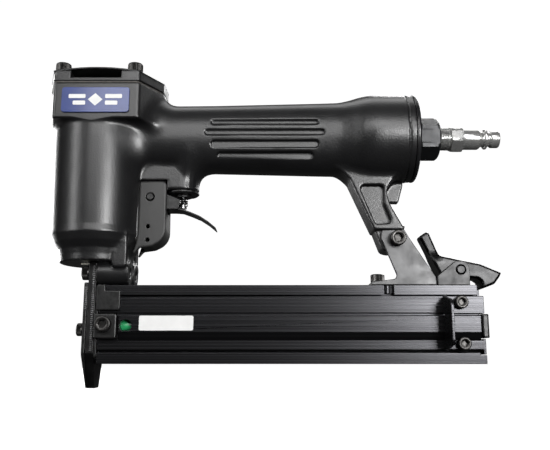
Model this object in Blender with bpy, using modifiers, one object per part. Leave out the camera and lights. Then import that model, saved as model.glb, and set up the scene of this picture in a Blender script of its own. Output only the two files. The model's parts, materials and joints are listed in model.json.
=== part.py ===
"""Pneumatic brad nailer, modelled for Blender 4.5 as an assembly of separate pieces.

Lengths in this file are millimetres and the helpers turn them into metres. X runs back along the
handle to the air plug, Y across the tool and Z up. The mid-plane is Y = 0 and the nose touches the
work at Z = 0. The whole layout hangs on one empty, which puts the part's origin on the solid foot of
the driver guide, just behind the driver's channel.
"""

import math

import bmesh
import bpy
from mathutils import Matrix, Vector

MM = 0.001
GAP = 0.3
MERGE = 0.00001

# Frame: the drive axis, and the point of the layout that becomes the origin
DRIVE_X = -1.0
ORIGIN_X = 1.1

# Head
BARREL_RADIUS = 26.7
BARREL_FOOT_RADIUS = 25.5
BARREL_BOTTOM = 67.6
FLANGE_BOTTOM = 144.7
FLANGE_TOP = 165.3
FLANGE_HALF_WIDTH = 27.0
HEAD_FRONT = -28.7
CAP_FRONT = -30.0
HEAD_REAR = 35.4
BARREL_TOP = 146.0
GASKET_TOP = FLANGE_TOP + 0.8
CAP_TOP = 172.0
CAP_SCREW_X = (-20.5, 20.2)
CAP_SCREW_Y = 18.0
CHAMBER_RADIUS = 21.0
CHAMBER_FLOOR = 78.0

# Drive train
SLEEVE_BORE = 14.0
SLEEVE_RADIUS = 16.5
SLEEVE_TOP = 148.0
BUMPER_TOP = 86.0
STROKE = 52.0
BLADE_HALF_WIDTH = 0.8
BLADE_HALF_THICKNESS = 0.6

# Handle and air inlet
HANDLE_Z = 140.4
GRIP_HALF_HEIGHT = 20.2
GRIP_HALF_WIDTH = 17.2
GRIP_POWER = 2.4
# Flutes: height, half height, X from and X to
FLUTES = (
    (145.8, 1.3, 63.5, 123.5),
    (139.8, 1.6, 60.0, 127.0),
    (133.1, 2.1, 63.5, 123.8),
    (127.1, 1.9, 67.0, 120.5),
)
FLUTE_DEPTH = 1.1
BELL_Z = 141.0
BELL_RADIUS = 25.15
BELL_END = 177.3
HANDLE_BORE = 13.0
# Turn of each hexagon about the air line, from a corner straight out to the far side (+Y)
ADAPTER_TURN = 180.0 - 23.5
ADAPTER_CORNER = 12.6
PLUG_TURN = 180.0 + 22.0
PLUG_CORNER = 8.05

# Trigger
TRIGGER_PIVOT = (29.4, 0.0, 104.6)
TRIGGER_PIN_RADIUS = 2.1
STEM_X = 46.8
BOSS_RADIUS = 9.8
BOSS_BOTTOM = 108.9
GUARD_HALF_WIDTH = 9.0
GUARD_SHEET = 1.4
GUARD_FOLD = 1.1

# Nose
FRONT_FACE = -4.1
GUIDE_FRONT = -1.9
CHANNEL_BACK = -0.1
GUIDE_BACK = 2.3
NOSE_HALF_WIDTH = 12.0
LUG_Y = 8.0
LUG_Z = 61.8
FRONT_SCREW_Z = 31.0

# Magazine
MAG_FRONT = 4.3
MAG_REAR = 208.7
MAG_BOTTOM = 12.8
MAG_TOP = 54.8
MAG_HALF_WIDTH = 12.0
RAIL_FACE = -14.6
ROD_Y = -7.8
ROD_Z = 33.2
ROD_BORE = 3.4
CHANNEL_HALF_WIDTH = 0.9
LIP_TOP = 50.4
LIP_BOTTOM = 19.3
TONGUE_Y = (-8.2, -5.2)
TONGUE = 1.8
TAB_X = 189.5
TAB_SCREWS = ((198.7, 45.2), (199.2, 23.4))

# Rear bracket and latch
ARM_HALF_WIDTH = 9.8
POCKET_DEPTH = 3.5
TONGUE_HALF_WIDTH = 7.6
ARM_SCREW = (166.8, 80.6)
LATCH_PIVOT = (201.3, 0.0, 63.6)
LATCH_PIN_RADIUS = 2.4

parts = None
cutters = None
frame = None


# ---------------------------------------------------------------- materials

def material(name, colour, roughness, metallic):
    made = bpy.data.materials.new(name)
    made.use_nodes = True
    shader = made.node_tree.nodes["Principled BSDF"]
    shader.inputs["Base Color"].default_value = (*colour, 1.0)
    shader.inputs["Roughness"].default_value = roughness
    shader.inputs["Metallic"].default_value = metallic
    return made


MATERIALS = {
    "black_paint": ((0.022, 0.022, 0.024), 0.42, 0.0),
    "guard_paint": ((0.03, 0.03, 0.032), 0.45, 0.0),
    "black_anodised": ((0.03, 0.03, 0.033), 0.32, 0.8),
    "black_oxide": ((0.045, 0.043, 0.042), 0.38, 0.9),
    "satin_steel": ((0.42, 0.42, 0.43), 0.3, 1.0),
    "bright_chrome": ((0.75, 0.75, 0.76), 0.12, 1.0),
    "zinc_plate": ((0.6, 0.6, 0.62), 0.35, 1.0),
    "aluminium": ((0.72, 0.72, 0.74), 0.3, 1.0),
    "rubber": ((0.02, 0.02, 0.02), 0.75, 0.0),
    "bumper_rubber": ((0.72, 0.7, 0.6), 0.6, 0.0),
    "gasket_paper": ((0.12, 0.11, 0.1), 0.9, 0.0),
    "badge_blue": ((0.045, 0.085, 0.4), 0.25, 0.0),
    "label_white": ((0.85, 0.85, 0.84), 0.4, 0.0),
    "indicator_green": ((0.02, 0.3, 0.1), 0.35, 0.0),
}


# ---------------------------------------------------------------- building blocks

def clear_scene():
    for thing in list(bpy.data.objects):
        bpy.data.objects.remove(thing, do_unlink=True)


def collection(name):
    made = bpy.data.collections.new(name)
    bpy.context.scene.collection.children.link(made)
    return made


def wrap(name, shape):
    """An object in the cutters' collection that holds a bmesh given in millimetres."""
    bmesh.ops.scale(shape, vec=(MM, MM, MM), verts=shape.verts)
    bmesh.ops.recalc_face_normals(shape, faces=shape.faces)
    mesh = bpy.data.meshes.new(name)
    shape.to_mesh(mesh)
    shape.free()
    thing = bpy.data.objects.new(name, mesh)
    cutters.objects.link(thing)
    return thing


def box(x, y, z):
    """A block between two limits along each axis."""
    shape = bmesh.new()
    bmesh.ops.create_cube(shape, size=1.0)
    middle = Vector(((x[0] + x[1]) / 2, (y[0] + y[1]) / 2, (z[0] + z[1]) / 2))
    stretch = Matrix.Diagonal((x[1] - x[0], y[1] - y[0], z[1] - z[0], 1))
    bmesh.ops.transform(shape, matrix=Matrix.Translation(middle) @ stretch, verts=shape.verts)
    return wrap("block", shape)


AXES = {
    "X": Matrix(((0, 0, 1), (1, 0, 0), (0, 1, 0))).to_4x4(),
    "Y": Matrix(((1, 0, 0), (0, 0, -1), (0, 1, 0))).to_4x4(),
    "Z": Matrix.Identity(4),
}


def rod(axis, centre, radius, length, sides=24, turn=0.0):
    """A cylinder or prism along an axis, centred on a point."""
    shape = bmesh.new()
    bmesh.ops.create_cone(
        shape, cap_ends=True, segments=sides, radius1=radius, radius2=radius, depth=length
    )
    place = Matrix.Translation(Vector(centre)) @ AXES[axis] @ Matrix.Rotation(math.radians(turn), 4, "Z")
    bmesh.ops.transform(shape, matrix=place, verts=shape.verts)
    return wrap("rod", shape)


def rounded(corners, steps=4):
    """Points round an outline whose corners are (x, y, radius), each radius turned into an arc."""
    points = []
    count = len(corners)
    for index, (x, y, radius) in enumerate(corners):
        corner = Vector((x, y))
        if radius <= 0:
            points.append(corner)
            continue
        before = (Vector(corners[index - 1][:2]) - corner).normalized()
        after = (Vector(corners[(index + 1) % count][:2]) - corner).normalized()
        half = before.angle(after) / 2
        centre = corner + (before + after).normalized() * radius / math.sin(half)
        start = corner + before * radius / math.tan(half) - centre
        end = corner + after * radius / math.tan(half) - centre
        sweep = start.angle_signed(end)
        for step in range(steps + 1):
            points.append(centre + Matrix.Rotation(-sweep * step / steps, 2) @ start)
    return points


def plate(axis, outline, low, high):
    """A flat outline given thickness along an axis.

    The outline's own pair of axes is (Y, Z) for X, (X, Z) for Y and (X, Y) for Z.
    """
    flat = bpy.data.curves.new("outline", "CURVE")
    flat.dimensions = "2D"
    flat.fill_mode = "BOTH"
    flat.extrude = (high - low) / 2 * MM
    line = flat.splines.new("POLY")
    line.points.add(len(outline) - 1)
    for point, place in zip(line.points, outline):
        point.co = (place[0] * MM, place[1] * MM, 0.0, 1.0)
    line.use_cyclic_u = True
    middle = Vector({"X": (1, 0, 0), "Y": (0, 1, 0), "Z": (0, 0, 1)}[axis]) * (low + high) / 2 * MM
    return curve_mesh(flat, Matrix.Translation(middle) @ AXES[axis])


def curve_mesh(curve, placement=Matrix.Identity(4)):
    """Turns a curve into a closed mesh object and removes the curve."""
    guide = bpy.data.objects.new("guide", curve)
    guide.matrix_world = placement
    cutters.objects.link(guide)
    bpy.context.view_layer.update()
    evaluated = guide.evaluated_get(bpy.context.evaluated_depsgraph_get())
    mesh = bpy.data.meshes.new_from_object(evaluated)
    mesh.transform(guide.matrix_world)
    bpy.data.objects.remove(guide, do_unlink=True)
    bpy.data.curves.remove(curve)
    shape = bmesh.new()
    shape.from_mesh(mesh)
    bmesh.ops.remove_doubles(shape, verts=shape.verts, dist=MERGE)
    bmesh.ops.recalc_face_normals(shape, faces=shape.faces)
    shape.to_mesh(mesh)
    shape.free()
    thing = bpy.data.objects.new("solid", mesh)
    cutters.objects.link(thing)
    return thing


def turned(axis, centre, profile, steps=32, ring=False):
    """A turned solid: the profile is (radius, height) and runs down its outer side.

    A ring's profile closes on itself. Heights run along the axis from the centre.
    """
    mesh = bpy.data.meshes.new("profile")
    points = [(radius * MM, 0.0, height * MM) for radius, height in profile]
    edges = [(index, index + 1) for index in range(len(points) - 1)]
    if ring:
        edges.append((len(points) - 1, 0))
    mesh.from_pydata(points, edges, [])
    thing = bpy.data.objects.new("turned", mesh)
    cutters.objects.link(thing)
    screw = thing.modifiers.new("Screw", "SCREW")
    screw.steps = steps
    screw.render_steps = steps
    screw.use_merge_vertices = True
    screw.merge_threshold = MERGE
    bake(thing)
    thing.data.transform(Matrix.Translation(Vector(centre) * MM) @ AXES[axis])
    return thing


def fitting(centre, profile, turn, sides=36):
    """A hollow fitting along X: its profile is (radius, x, hexagon or None) and closes on itself.

    Where a hexagon's corner radius is given, the ring follows the hexagon and is trimmed to the radius.
    """
    shape = bmesh.new()
    rings = []
    for radius, x, corner in profile:
        ring = []
        for side in range(sides):
            angle = 2 * math.pi * side / sides
            reach = radius
            if corner:
                off = math.remainder(angle - math.radians(30), math.radians(60))
                reach = min(radius, corner * math.cos(math.radians(30)) / math.cos(off))
            direction = angle + math.radians(turn)
            across = centre[0] + reach * math.cos(direction)
            up = centre[1] + reach * math.sin(direction)
            ring.append(shape.verts.new((x, across, up)))
        rings.append(ring)
    for ring, following in zip(rings, rings[1:] + rings[:1]):
        for side in range(sides):
            after = (side + 1) % sides
            shape.faces.new((ring[side], ring[after], following[after], following[side]))
    return wrap("fitting", shape)


def tube(points, radius, resolution=2):
    """A round bar along a line of points, with flat ends."""
    curve = bpy.data.curves.new("bar", "CURVE")
    curve.dimensions = "3D"
    curve.bevel_depth = radius * MM
    curve.bevel_resolution = resolution
    curve.use_fill_caps = True
    line = curve.splines.new("POLY")
    line.points.add(len(points) - 1)
    for point, place in zip(line.points, points):
        point.co = (place[0] * MM, place[1] * MM, place[2] * MM, 1.0)
    return curve_mesh(curve)


def coil(axis, start, radius, wire, length, turns, per_turn=10, resolution=0):
    """A coil spring that starts at a point and runs along an axis."""
    points = []
    for step in range(turns * per_turn + 1):
        angle = 2 * math.pi * step / per_turn
        along = length * step / (turns * per_turn)
        local = Vector((radius * math.cos(angle), radius * math.sin(angle), along))
        points.append(Vector(start) + AXES[axis].to_3x3() @ local)
    return tube(points, wire, resolution)


def loft(sections, sides=32):
    """A solid along X through rounded sections (x, centre z, half height, half width, exponent)."""
    shape = bmesh.new()
    rings = []
    for x, middle, height, width, power in sections:
        ring = []
        for side in range(sides):
            angle = 2 * math.pi * side / sides
            across = math.copysign(abs(math.cos(angle)) ** (2 / power), math.cos(angle)) * width
            up = math.copysign(abs(math.sin(angle)) ** (2 / power), math.sin(angle)) * height
            ring.append(shape.verts.new((x, across, middle + up)))
        rings.append(ring)
    for ring, following in zip(rings, rings[1:]):
        for side in range(sides):
            after = (side + 1) % sides
            shape.faces.new((ring[side], ring[after], following[after], following[side]))
    shape.faces.new(rings[0])
    shape.faces.new(rings[-1])
    return wrap("loft", shape)


def bake(thing):
    """Replaces an object's mesh with the result of its modifiers."""
    bpy.context.view_layer.update()
    evaluated = thing.evaluated_get(bpy.context.evaluated_depsgraph_get())
    mesh = bpy.data.meshes.new_from_object(evaluated)
    thing.modifiers.clear()
    thing.data = mesh


def boolean(thing, other, operation):
    modifier = thing.modifiers.new(operation.title(), "BOOLEAN")
    modifier.operation = operation
    modifier.solver = "EXACT"
    modifier.object = other
    bake(thing)
    bpy.data.objects.remove(other, do_unlink=True)


def join(thing, *others):
    for other in others:
        boolean(thing, other, "UNION")
    return thing


def cut(thing, *others):
    for other in others:
        boolean(thing, other, "DIFFERENCE")
    return thing


def bevelled(thing, width, segments=1, angle=50.0):
    """Rounds the sharp edges of a solid."""
    bevel = thing.modifiers.new("Bevel", "BEVEL")
    bevel.width = width * MM
    bevel.segments = segments
    bevel.limit_method = "ANGLE"
    bevel.angle_limit = math.radians(angle)
    bake(thing)
    return thing


def span(side, near, far):
    """Limits along Y for a piece between two distances from the mid-plane, on one side."""
    return (side * far, side * near) if side < 0 else (near, far)


def finish(name, thing, look, pivot=(0.0, 0.0, 0.0)):
    """Names a solid, gives it its material and puts its origin on its pivot."""
    thing.name = name
    thing.data.name = name
    thing.data.materials.clear()
    thing.data.materials.append(bpy.data.materials[look])
    thing.data.transform(Matrix.Translation(-Vector(pivot) * MM))
    thing.location = Vector(pivot) * MM
    thing.data.shade_smooth()
    thing.data.set_sharp_from_angle(angle=math.radians(35))
    cutters.objects.unlink(thing)
    parts.objects.link(thing)
    thing.parent = frame
    return thing


def socket_screw(name, axis, seat, direction, size, length, look="black_oxide"):
    """A socket cap screw: its head stands on the seat and its shank runs the other way.

    size is (head radius, head height, shank radius, socket radius).
    """
    head, height, shank, socket = size
    chamfer = 0.4
    body = turned("Z", (0, 0, 0), [
        (0, height), (head - chamfer, height), (head, height - chamfer), (head, 0),
        (shank, 0), (shank, -length), (0, -length),
    ], 14)
    cut(body, rod("Z", (0, 0, height), socket, height, 6))
    flip = Matrix.Rotation(math.pi if (direction > 0) == (axis == "Y") else 0.0, 4, "X")
    body.data.transform(Matrix.Translation(Vector(seat) * MM) @ AXES[axis] @ flip)
    return finish(name, body, look)


M5 = (4.25, 5.0, 2.5, 2.4)
M4 = (3.5, 4.0, 2.0, 1.8)
NOSE_SCREW = (4.0, 4.0, 2.5, 2.2)
FRONT_SCREW = (3.5, 3.3, 2.0, 1.8)
SIDE_SCREW = (4.25, 3.6, 2.5, 2.3)
MAGAZINE_SCREW = (3.9, 4.8, 2.5, 2.2)


# ---------------------------------------------------------------- head

def head_plan(front=HEAD_FRONT, inset=0.0):
    """Outline of the head's flange and cap, seen from above."""
    half = FLANGE_HALF_WIDTH - inset
    rear = HEAD_REAR - inset
    return rounded([
        (front + inset, -7.5, 4),
        (-22.4, -half, 2),
        (24.5 - inset, -half, 2.5),
        (rear, -7.5, 4),
        (rear, 7.5, 4),
        (24.5 - inset, half, 2.5),
        (-22.4, half, 2),
        (front + inset, 7.5, 4),
    ])


def barrel():
    """The head's round barrel, drawn in to a smaller flat foot."""
    return turned("Z", (DRIVE_X, 0, 0), [
        (0, BARREL_TOP),
        (BARREL_RADIUS, BARREL_TOP),
        (BARREL_RADIUS, 136.0),
        (BARREL_FOOT_RADIUS, 86.5),
        (BARREL_FOOT_RADIUS + 0.3, 82.6),
        (23.9, 78.3),
        (21.2, 74.6),
        (20.4, 71.3),
        (20.0, BARREL_BOTTOM),
        (0, BARREL_BOTTOM),
    ], steps=44)


def handle():
    return loft([
        (12, 141.5, 19.0, 15.0, GRIP_POWER),
        (38, 140.4, 19.3, 16.6, GRIP_POWER),
        (65, HANDLE_Z, 19.5, 17.0, GRIP_POWER),
        (125, HANDLE_Z, 20.9, 17.6, GRIP_POWER),
        (136, 140.5, 21.2, 18.6, 2.3),
        (142, 140.7, 22.3, 20.6, 2.2),
        (148, 140.9, 24.1, 23.4, 2.05),
        (153.5, BELL_Z, 25.1, 24.9, 2.0),
        (158, BELL_Z, BELL_RADIUS, BELL_RADIUS, 2.0),
        (BELL_END, BELL_Z, BELL_RADIUS, BELL_RADIUS, 2.0),
    ])


def arm():
    """The arm under the bell: a pocketed plate that ends in a thinner tongue."""
    web = plate("Y", rounded([
        (134.0, 122.0, 0),
        (141.2, 115.3, 8),
        (154.3, 85.8, 0),
        (171.4, 85.8, 0),
        (163.9, 99.9, 9),
        (161.4, 108.4, 6),
        (170.0, 121.0, 0),
        (160.0, 126.0, 0),
    ]), -ARM_HALF_WIDTH, ARM_HALF_WIDTH)
    for side in (-1, 1):
        pocket = rounded([
            (146.2, 111.6, 1.5),
            (160.6, 111.6, 1.5),
            (160.2, 101.0, 3),
            (164.6, 89.6, 1.5),
            (155.2, 89.0, 1.5),
        ], 3)
        cut(web, plate("Y", pocket, *span(side, ARM_HALF_WIDTH - POCKET_DEPTH, 12.0)))
    tongue = plate("Y", rounded([
        (153.8, 86.5, 0),
        (158.9, 74.6, 3),
        (166.5, 72.6, 5),
        (172.0, 86.5, 0),
    ]), -TONGUE_HALF_WIDTH, TONGUE_HALF_WIDTH)
    gusset = plate("Y", [(160.0, 121.0), (160.0, 104.0), (170.3, 103.8), (175.2, 121.0)], 2.0, 8.0)
    return join(web, tongue, gusset)


def grip_slots():
    """Shallow round-ended flutes along both sides of the handle."""
    made = []
    for height, half, start, end in FLUTES:
        rise = abs(height - HANDLE_Z) / GRIP_HALF_HEIGHT
        surface = GRIP_HALF_WIDTH * (1 - rise ** GRIP_POWER) ** (1 / GRIP_POWER)
        for side in (-1, 1):
            outline = rounded([
                (start, height - half, half * 0.98),
                (end, height - half, half * 0.98),
                (end, height + half, half * 0.98),
                (start, height + half, half * 0.98),
            ], 3)
            made.append(plate("Y", outline, *span(side, surface - FLUTE_DEPTH, 25.0)))
    return made


def housing():
    """The one casting: barrel, flange, handle, bell, valve boss, nose lugs and rear arm."""
    body = barrel()
    join(body, plate("Z", head_plan(), FLANGE_BOTTOM, FLANGE_TOP))
    join(body, handle())
    join(body, arm())
    boss = plate("Z", rounded([
        (18.0, -BOSS_RADIUS, 0),
        (STEM_X - 0.8 + BOSS_RADIUS, -BOSS_RADIUS, BOSS_RADIUS * 0.98),
        (STEM_X - 0.8 + BOSS_RADIUS, BOSS_RADIUS, BOSS_RADIUS * 0.98),
        (18.0, BOSS_RADIUS, 0),
    ], 8), BOSS_BOTTOM, 130.0)
    cut(boss, box((10, 38.8), (-20, 20), (100, 114.2)))
    join(body, boss)
    join(body, box((20.0, 36.6), (-7.2, 7.2), (109.8, 118.0)))
    for side in (-1, 1):
        join(body, rod("X", (11.3, side * LUG_Y, LUG_Z), 6.7, 17.4, 24))
    join(body, box((2.6, 18.0), (-LUG_Y, LUG_Y), (LUG_Z - 6.7, 70.0)))
    for side in (-1, 1):
        cut(body, box((21.9, 40.0), span(side, 7.2, 9.4), (66.0, 114.2)))
    cut(body, rod("Z", (DRIVE_X, 0, (CHAMBER_FLOOR + 170) / 2), CHAMBER_RADIUS, 170 - CHAMBER_FLOOR, 36))
    cut(body, rod("X", (100.0, 0, HANDLE_Z), HANDLE_BORE, 166.0, 24))
    cut(body, rod("X", (170.0, 0, BELL_Z), 21.0, 20.0, 32))
    cut(body, rod("Z", (DRIVE_X, 0, 73), 3.0, 14, 12))
    cut(body, rod("Z", (STEM_X, 0, 116.0), 7.0, 20.0, 24))
    cut(body, rod("Z", (STEM_X, 0, 128.0), 3.0, 10.0, 16))
    for side in (-1, 1):
        cut(body, rod("X", (10.0, side * LUG_Y, LUG_Z), 2.8, 30.0, 16))
        for x in CAP_SCREW_X:
            cut(body, rod("Z", (x, side * CAP_SCREW_Y, 160.0), 2.8, 14.0, 12))
    cut(body, rod("Y", (ARM_SCREW[0], 0, ARM_SCREW[1]), 2.8, 40.0, 16))
    cut(body, *grip_slots())
    return finish("housing", body, "black_paint")


def cap():
    """Cover plate with a central vent, four screw holes and an exhaust mouth in its near edge."""
    gasket = plate("Z", head_plan(inset=0.6), FLANGE_TOP + 0.1, GASKET_TOP - 0.1)
    cover = plate("Z", head_plan(CAP_FRONT), GASKET_TOP + 0.1, CAP_TOP)
    bevelled(cover, 0.8)
    cut(cover, box((-13.5, 14.3), (-30.0, -12.0), (168.2, 176.0)))
    cut(cover, rod("Z", (DRIVE_X, 0, 170), 10.4, 20, 28))
    for x in CAP_SCREW_X:
        for side in (-1, 1):
            cut(cover, rod("Z", (x, side * CAP_SCREW_Y, 170), 2.8, 10, 12))
            cut(gasket, rod("Z", (x, side * CAP_SCREW_Y, 165), 2.8, 10, 12))
    cut(gasket, rod("Z", (DRIVE_X, 0, 165), CHAMBER_RADIUS - 1.6, 10, 28))
    finish("cap_gasket", gasket, "gasket_paper")
    finish("cylinder_cap", cover, "black_paint")


def exhaust_plate():
    """Thin sheet bowed over the vent, held down at its corners by the cap screws."""
    reach, rise, sheet, steps = 24.0, 2.2, 0.9, 10
    lower = []
    for step in range(steps + 1):
        x = -reach + 2 * reach * step / steps
        lower.append(Vector((x, CAP_TOP + GAP + rise * (1 - (x / reach) ** 2))))
    upper = [point + Vector((0, sheet)) for point in reversed(lower)]
    sheet_metal = plate("Y", lower + upper, -24.5, 24.5)
    for x in CAP_SCREW_X:
        for side in (-1, 1):
            cut(sheet_metal, rod("Z", (x, side * CAP_SCREW_Y, 173), 2.9, 10, 12))
    finish("exhaust_plate", sheet_metal, "black_oxide")
    seat = CAP_TOP + GAP + rise * (1 - (CAP_SCREW_X[0] / reach) ** 2) + sheet + 0.7
    number = 1
    for side in (-1, 1):
        for x in CAP_SCREW_X:
            socket_screw(f"cap_screw_{number}", "Z", (x, side * CAP_SCREW_Y, seat), 1, M5, 20.0)
            number += 1


def badge():
    outline = rounded([(-17.6, 147.6, 1.6), (19.5, 147.6, 1.6), (19.5, 162.0, 1.6), (-17.6, 162.0, 1.6)], 3)
    face = plate("Y", outline, -FLANGE_HALF_WIDTH - GAP - 0.6, -FLANGE_HALF_WIDTH - GAP)
    finish("badge_plate", face, "badge_blue")


def drive_train():
    """Sleeve, seals, bumper, piston, blade and head valve inside the barrel."""
    axis = (DRIVE_X, 0, 0)
    collar = CHAMBER_RADIUS - GAP
    groove = CHAMBER_RADIUS - 1.9
    finish("cylinder_sleeve", turned("Z", axis, [
        (SLEEVE_RADIUS, SLEEVE_TOP), (SLEEVE_RADIUS, 125.0), (collar, 125.0), (collar, 123.0),
        (groove, 123.0), (groove, 121.0), (collar, 121.0), (collar, 119.0),
        (SLEEVE_RADIUS, 119.0), (SLEEVE_RADIUS, CHAMBER_FLOOR + 6), (collar, CHAMBER_FLOOR + 6),
        (collar, CHAMBER_FLOOR + GAP),
        (SLEEVE_BORE, CHAMBER_FLOOR + GAP), (SLEEVE_BORE, SLEEVE_TOP),
    ], 24, True), "aluminium")
    finish("sleeve_oring", turned("Z", axis, [
        (collar, 122.5), (collar, 121.5), (groove + GAP, 121.5), (groove + GAP, 122.5),
    ], 24, True), "rubber")
    finish("bumper", turned("Z", axis, [
        (9.0, BUMPER_TOP), (12.6, BUMPER_TOP - 4.0), (SLEEVE_BORE - 0.6, CHAMBER_FLOOR + 2.0),
        (SLEEVE_BORE - 0.6, CHAMBER_FLOOR + GAP), (3.2, CHAMBER_FLOOR + GAP), (3.2, BUMPER_TOP),
    ], 24, True), "bumper_rubber")
    low = BUMPER_TOP + 0.5 + STROKE
    outer = SLEEVE_BORE - 0.3
    finish("piston", turned("Z", axis, [
        (0, low + 9.0), (outer, low + 9.0), (outer, low + 6.2), (outer - 2, low + 6.2),
        (outer - 2, low + 3.4), (outer, low + 3.4), (outer, low), (4.0, low), (4.0, low + 4.0),
        (0, low + 4.0),
    ], 24), "aluminium", (DRIVE_X, 0, low))
    finish("piston_ring", turned("Z", axis, [
        (outer, low + 5.9), (outer, low + 3.7), (outer - 1.7, low + 3.7), (outer - 1.7, low + 5.9),
    ], 24, True), "rubber", (DRIVE_X, 0, low))
    thick = BLADE_HALF_THICKNESS
    wide = BLADE_HALF_WIDTH
    blade = box((DRIVE_X - thick, DRIVE_X + thick), (-wide, wide), (STROKE + 1.0, low))
    join(blade, rod("Z", (DRIVE_X, 0, low + 1.0), 2.6, 5.0, 12))
    finish("driver_blade", blade, "satin_steel", (DRIVE_X, 0, low))
    foot = SLEEVE_TOP + GAP
    flange = CHAMBER_RADIUS - 0.6
    finish("head_valve", turned("Z", axis, [
        (9.9, GASKET_TOP + 1.0), (9.9, foot + 3.0), (flange, foot + 3.0), (flange, foot),
        (7.5, foot), (7.5, GASKET_TOP + 1.0),
    ], 24, True), "aluminium", (DRIVE_X, 0, foot))
    spring_foot = foot + 3.0 + GAP + 0.8
    spring_head = GASKET_TOP - GAP - 0.8
    spring = coil("Z", (DRIVE_X, 0, spring_foot), 13.5, 0.8, spring_head - spring_foot, 4, 12)
    finish("head_valve_spring", spring, "satin_steel")


def air_inlet():
    """End cap with its ring, the hexagon adapter screwed into it and the quick-release plug."""
    finish("end_cap", turned("X", (0, 0, BELL_Z), [
        (8.0, 180.6), (21.0, 180.4), (24.4, 179.4), (25.3, 178.2), (25.3, BELL_END + 0.6),
        (24.6, BELL_END + GAP), (20.7, BELL_END + GAP), (20.7, 175.5), (19.2, 175.5), (19.2, 173.0),
        (20.7, 173.0), (20.7, 170.0), (6.9, 170.0), (6.9, 178.5), (8.0, 179.6),
    ], 28, True), "black_paint")
    finish("end_cap_oring", turned("X", (0, 0, BELL_Z), [
        (20.7, 175.0), (20.7, 173.5), (19.5, 173.5), (19.5, 175.0),
    ], 24, True), "rubber")
    adapter = fitting((0, BELL_Z), [
        (5.9, 193.6, None), (5.9, 182.0, None), (3.5, 182.0, None), (3.5, 171.0, None), (6.5, 171.0, None),
        (6.5, 181.0, None), (9.6, 181.0, None), (9.6, 182.6, None), (ADAPTER_CORNER, 182.6, ADAPTER_CORNER),
        (ADAPTER_CORNER, 191.9, ADAPTER_CORNER), (10.7, 193.6, ADAPTER_CORNER),
    ], ADAPTER_TURN)
    finish("inlet_adapter", adapter, "black_oxide")
    plug = fitting((0, BELL_Z), [
        (3.0, 229.3, None), (4.4, 229.3, None), (5.0, 228.7, None), (5.0, 224.4, None), (4.2, 223.8, None),
        (4.2, 222.6, None), (5.9, 221.8, None), (5.9, 220.8, None), (4.4, 220.2, None), (4.4, 218.8, None),
        (6.0, 217.0, None), (6.0, 207.6, None), (PLUG_CORNER, 207.6, PLUG_CORNER),
        (PLUG_CORNER, 201.0, PLUG_CORNER), (6.5, 201.0, None), (6.5, 194.2, None), (5.6, 193.6, None),
        (5.6, 184.4, None), (3.0, 184.4, None),
    ], PLUG_TURN, 24)
    finish("air_plug", plug, "bright_chrome")


# ---------------------------------------------------------------- trigger

def trigger_guard():
    """Folded sheet: two cheeks joined by a web along the rear edge, open where the trigger passes."""
    outline = rounded([
        (23.1, 113.6, 1.5),
        (38.4, 113.6, 2.5),
        (38.6, 81.4, 6.5),
        (33.0, 76.3, 4),
        (24.0, 74.6, 1),
        (20.0, 70.7, 0.8),
        (22.2, 78.6, 2),
        (23.1, 85.0, 2),
    ])
    inner = rounded([
        (10.0, 120.0, 0),
        (37.0, 120.0, 0),
        (37.2, 82.0, 5.5),
        (32.4, 77.7, 3.4),
        (10.0, 71.0, 0),
    ])
    body = bevelled(plate("Y", outline, -GUARD_HALF_WIDTH, GUARD_HALF_WIDTH), GUARD_FOLD, 2)
    inside = GUARD_HALF_WIDTH - GUARD_SHEET
    cut(body, plate("Y", inner, -inside, inside))
    cut(body, box((34.0, 42.0), (-inside, inside), (96.5, 120.0)))
    cut(body, box((15.0, 25.5), (-inside, inside), (60.0, 90.0)))
    cut(body, rod("Y", TRIGGER_PIVOT, TRIGGER_PIN_RADIUS + GAP, 30, 20))
    for height in (87.8, 80.2):
        cut(body, rod("Y", (28.7, 0, height), 1.1, 30, 12))
    finish("trigger_guard", body, "guard_paint")


def trigger():
    """A channel on the pivot pin, with a long curved finger strip behind it."""
    outline = rounded([
        (25.6, 107.6, 3),
        (36.3, 107.5, 1),
        (46.0, 103.4, 0.6),
        (44.9, 98.1, 0.6),
        (38.6, 98.1, 1),
        (25.6, 101.0, 3),
    ], 4)
    body = plate("Y", outline, -6.9, 6.9)
    cut(body, box((20.0, 60.0), (-5.6, 5.6), (99.1, 115.0)))
    blade_top = [(43.0, 98.9), (46.8, 98.5), (51.5, 96.8), (56.9, 94.5), (61.8, 91.3), (66.1, 87.7)]
    sheet = 1.0
    under = [(x, z - sheet) for x, z in reversed(blade_top)]
    strip = plate("Y", blade_top + under, -5.8, 5.8)
    join(body, strip)
    cut(body, rod("Y", TRIGGER_PIVOT, TRIGGER_PIN_RADIUS + GAP, 30, 20))
    finish("trigger", body, "black_oxide", TRIGGER_PIVOT)
    pin = rod("Y", TRIGGER_PIVOT, TRIGGER_PIN_RADIUS, 2 * GUARD_HALF_WIDTH + 1.2, 20)
    finish("trigger_pin", bevelled(pin, 0.4), "black_oxide")


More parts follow.
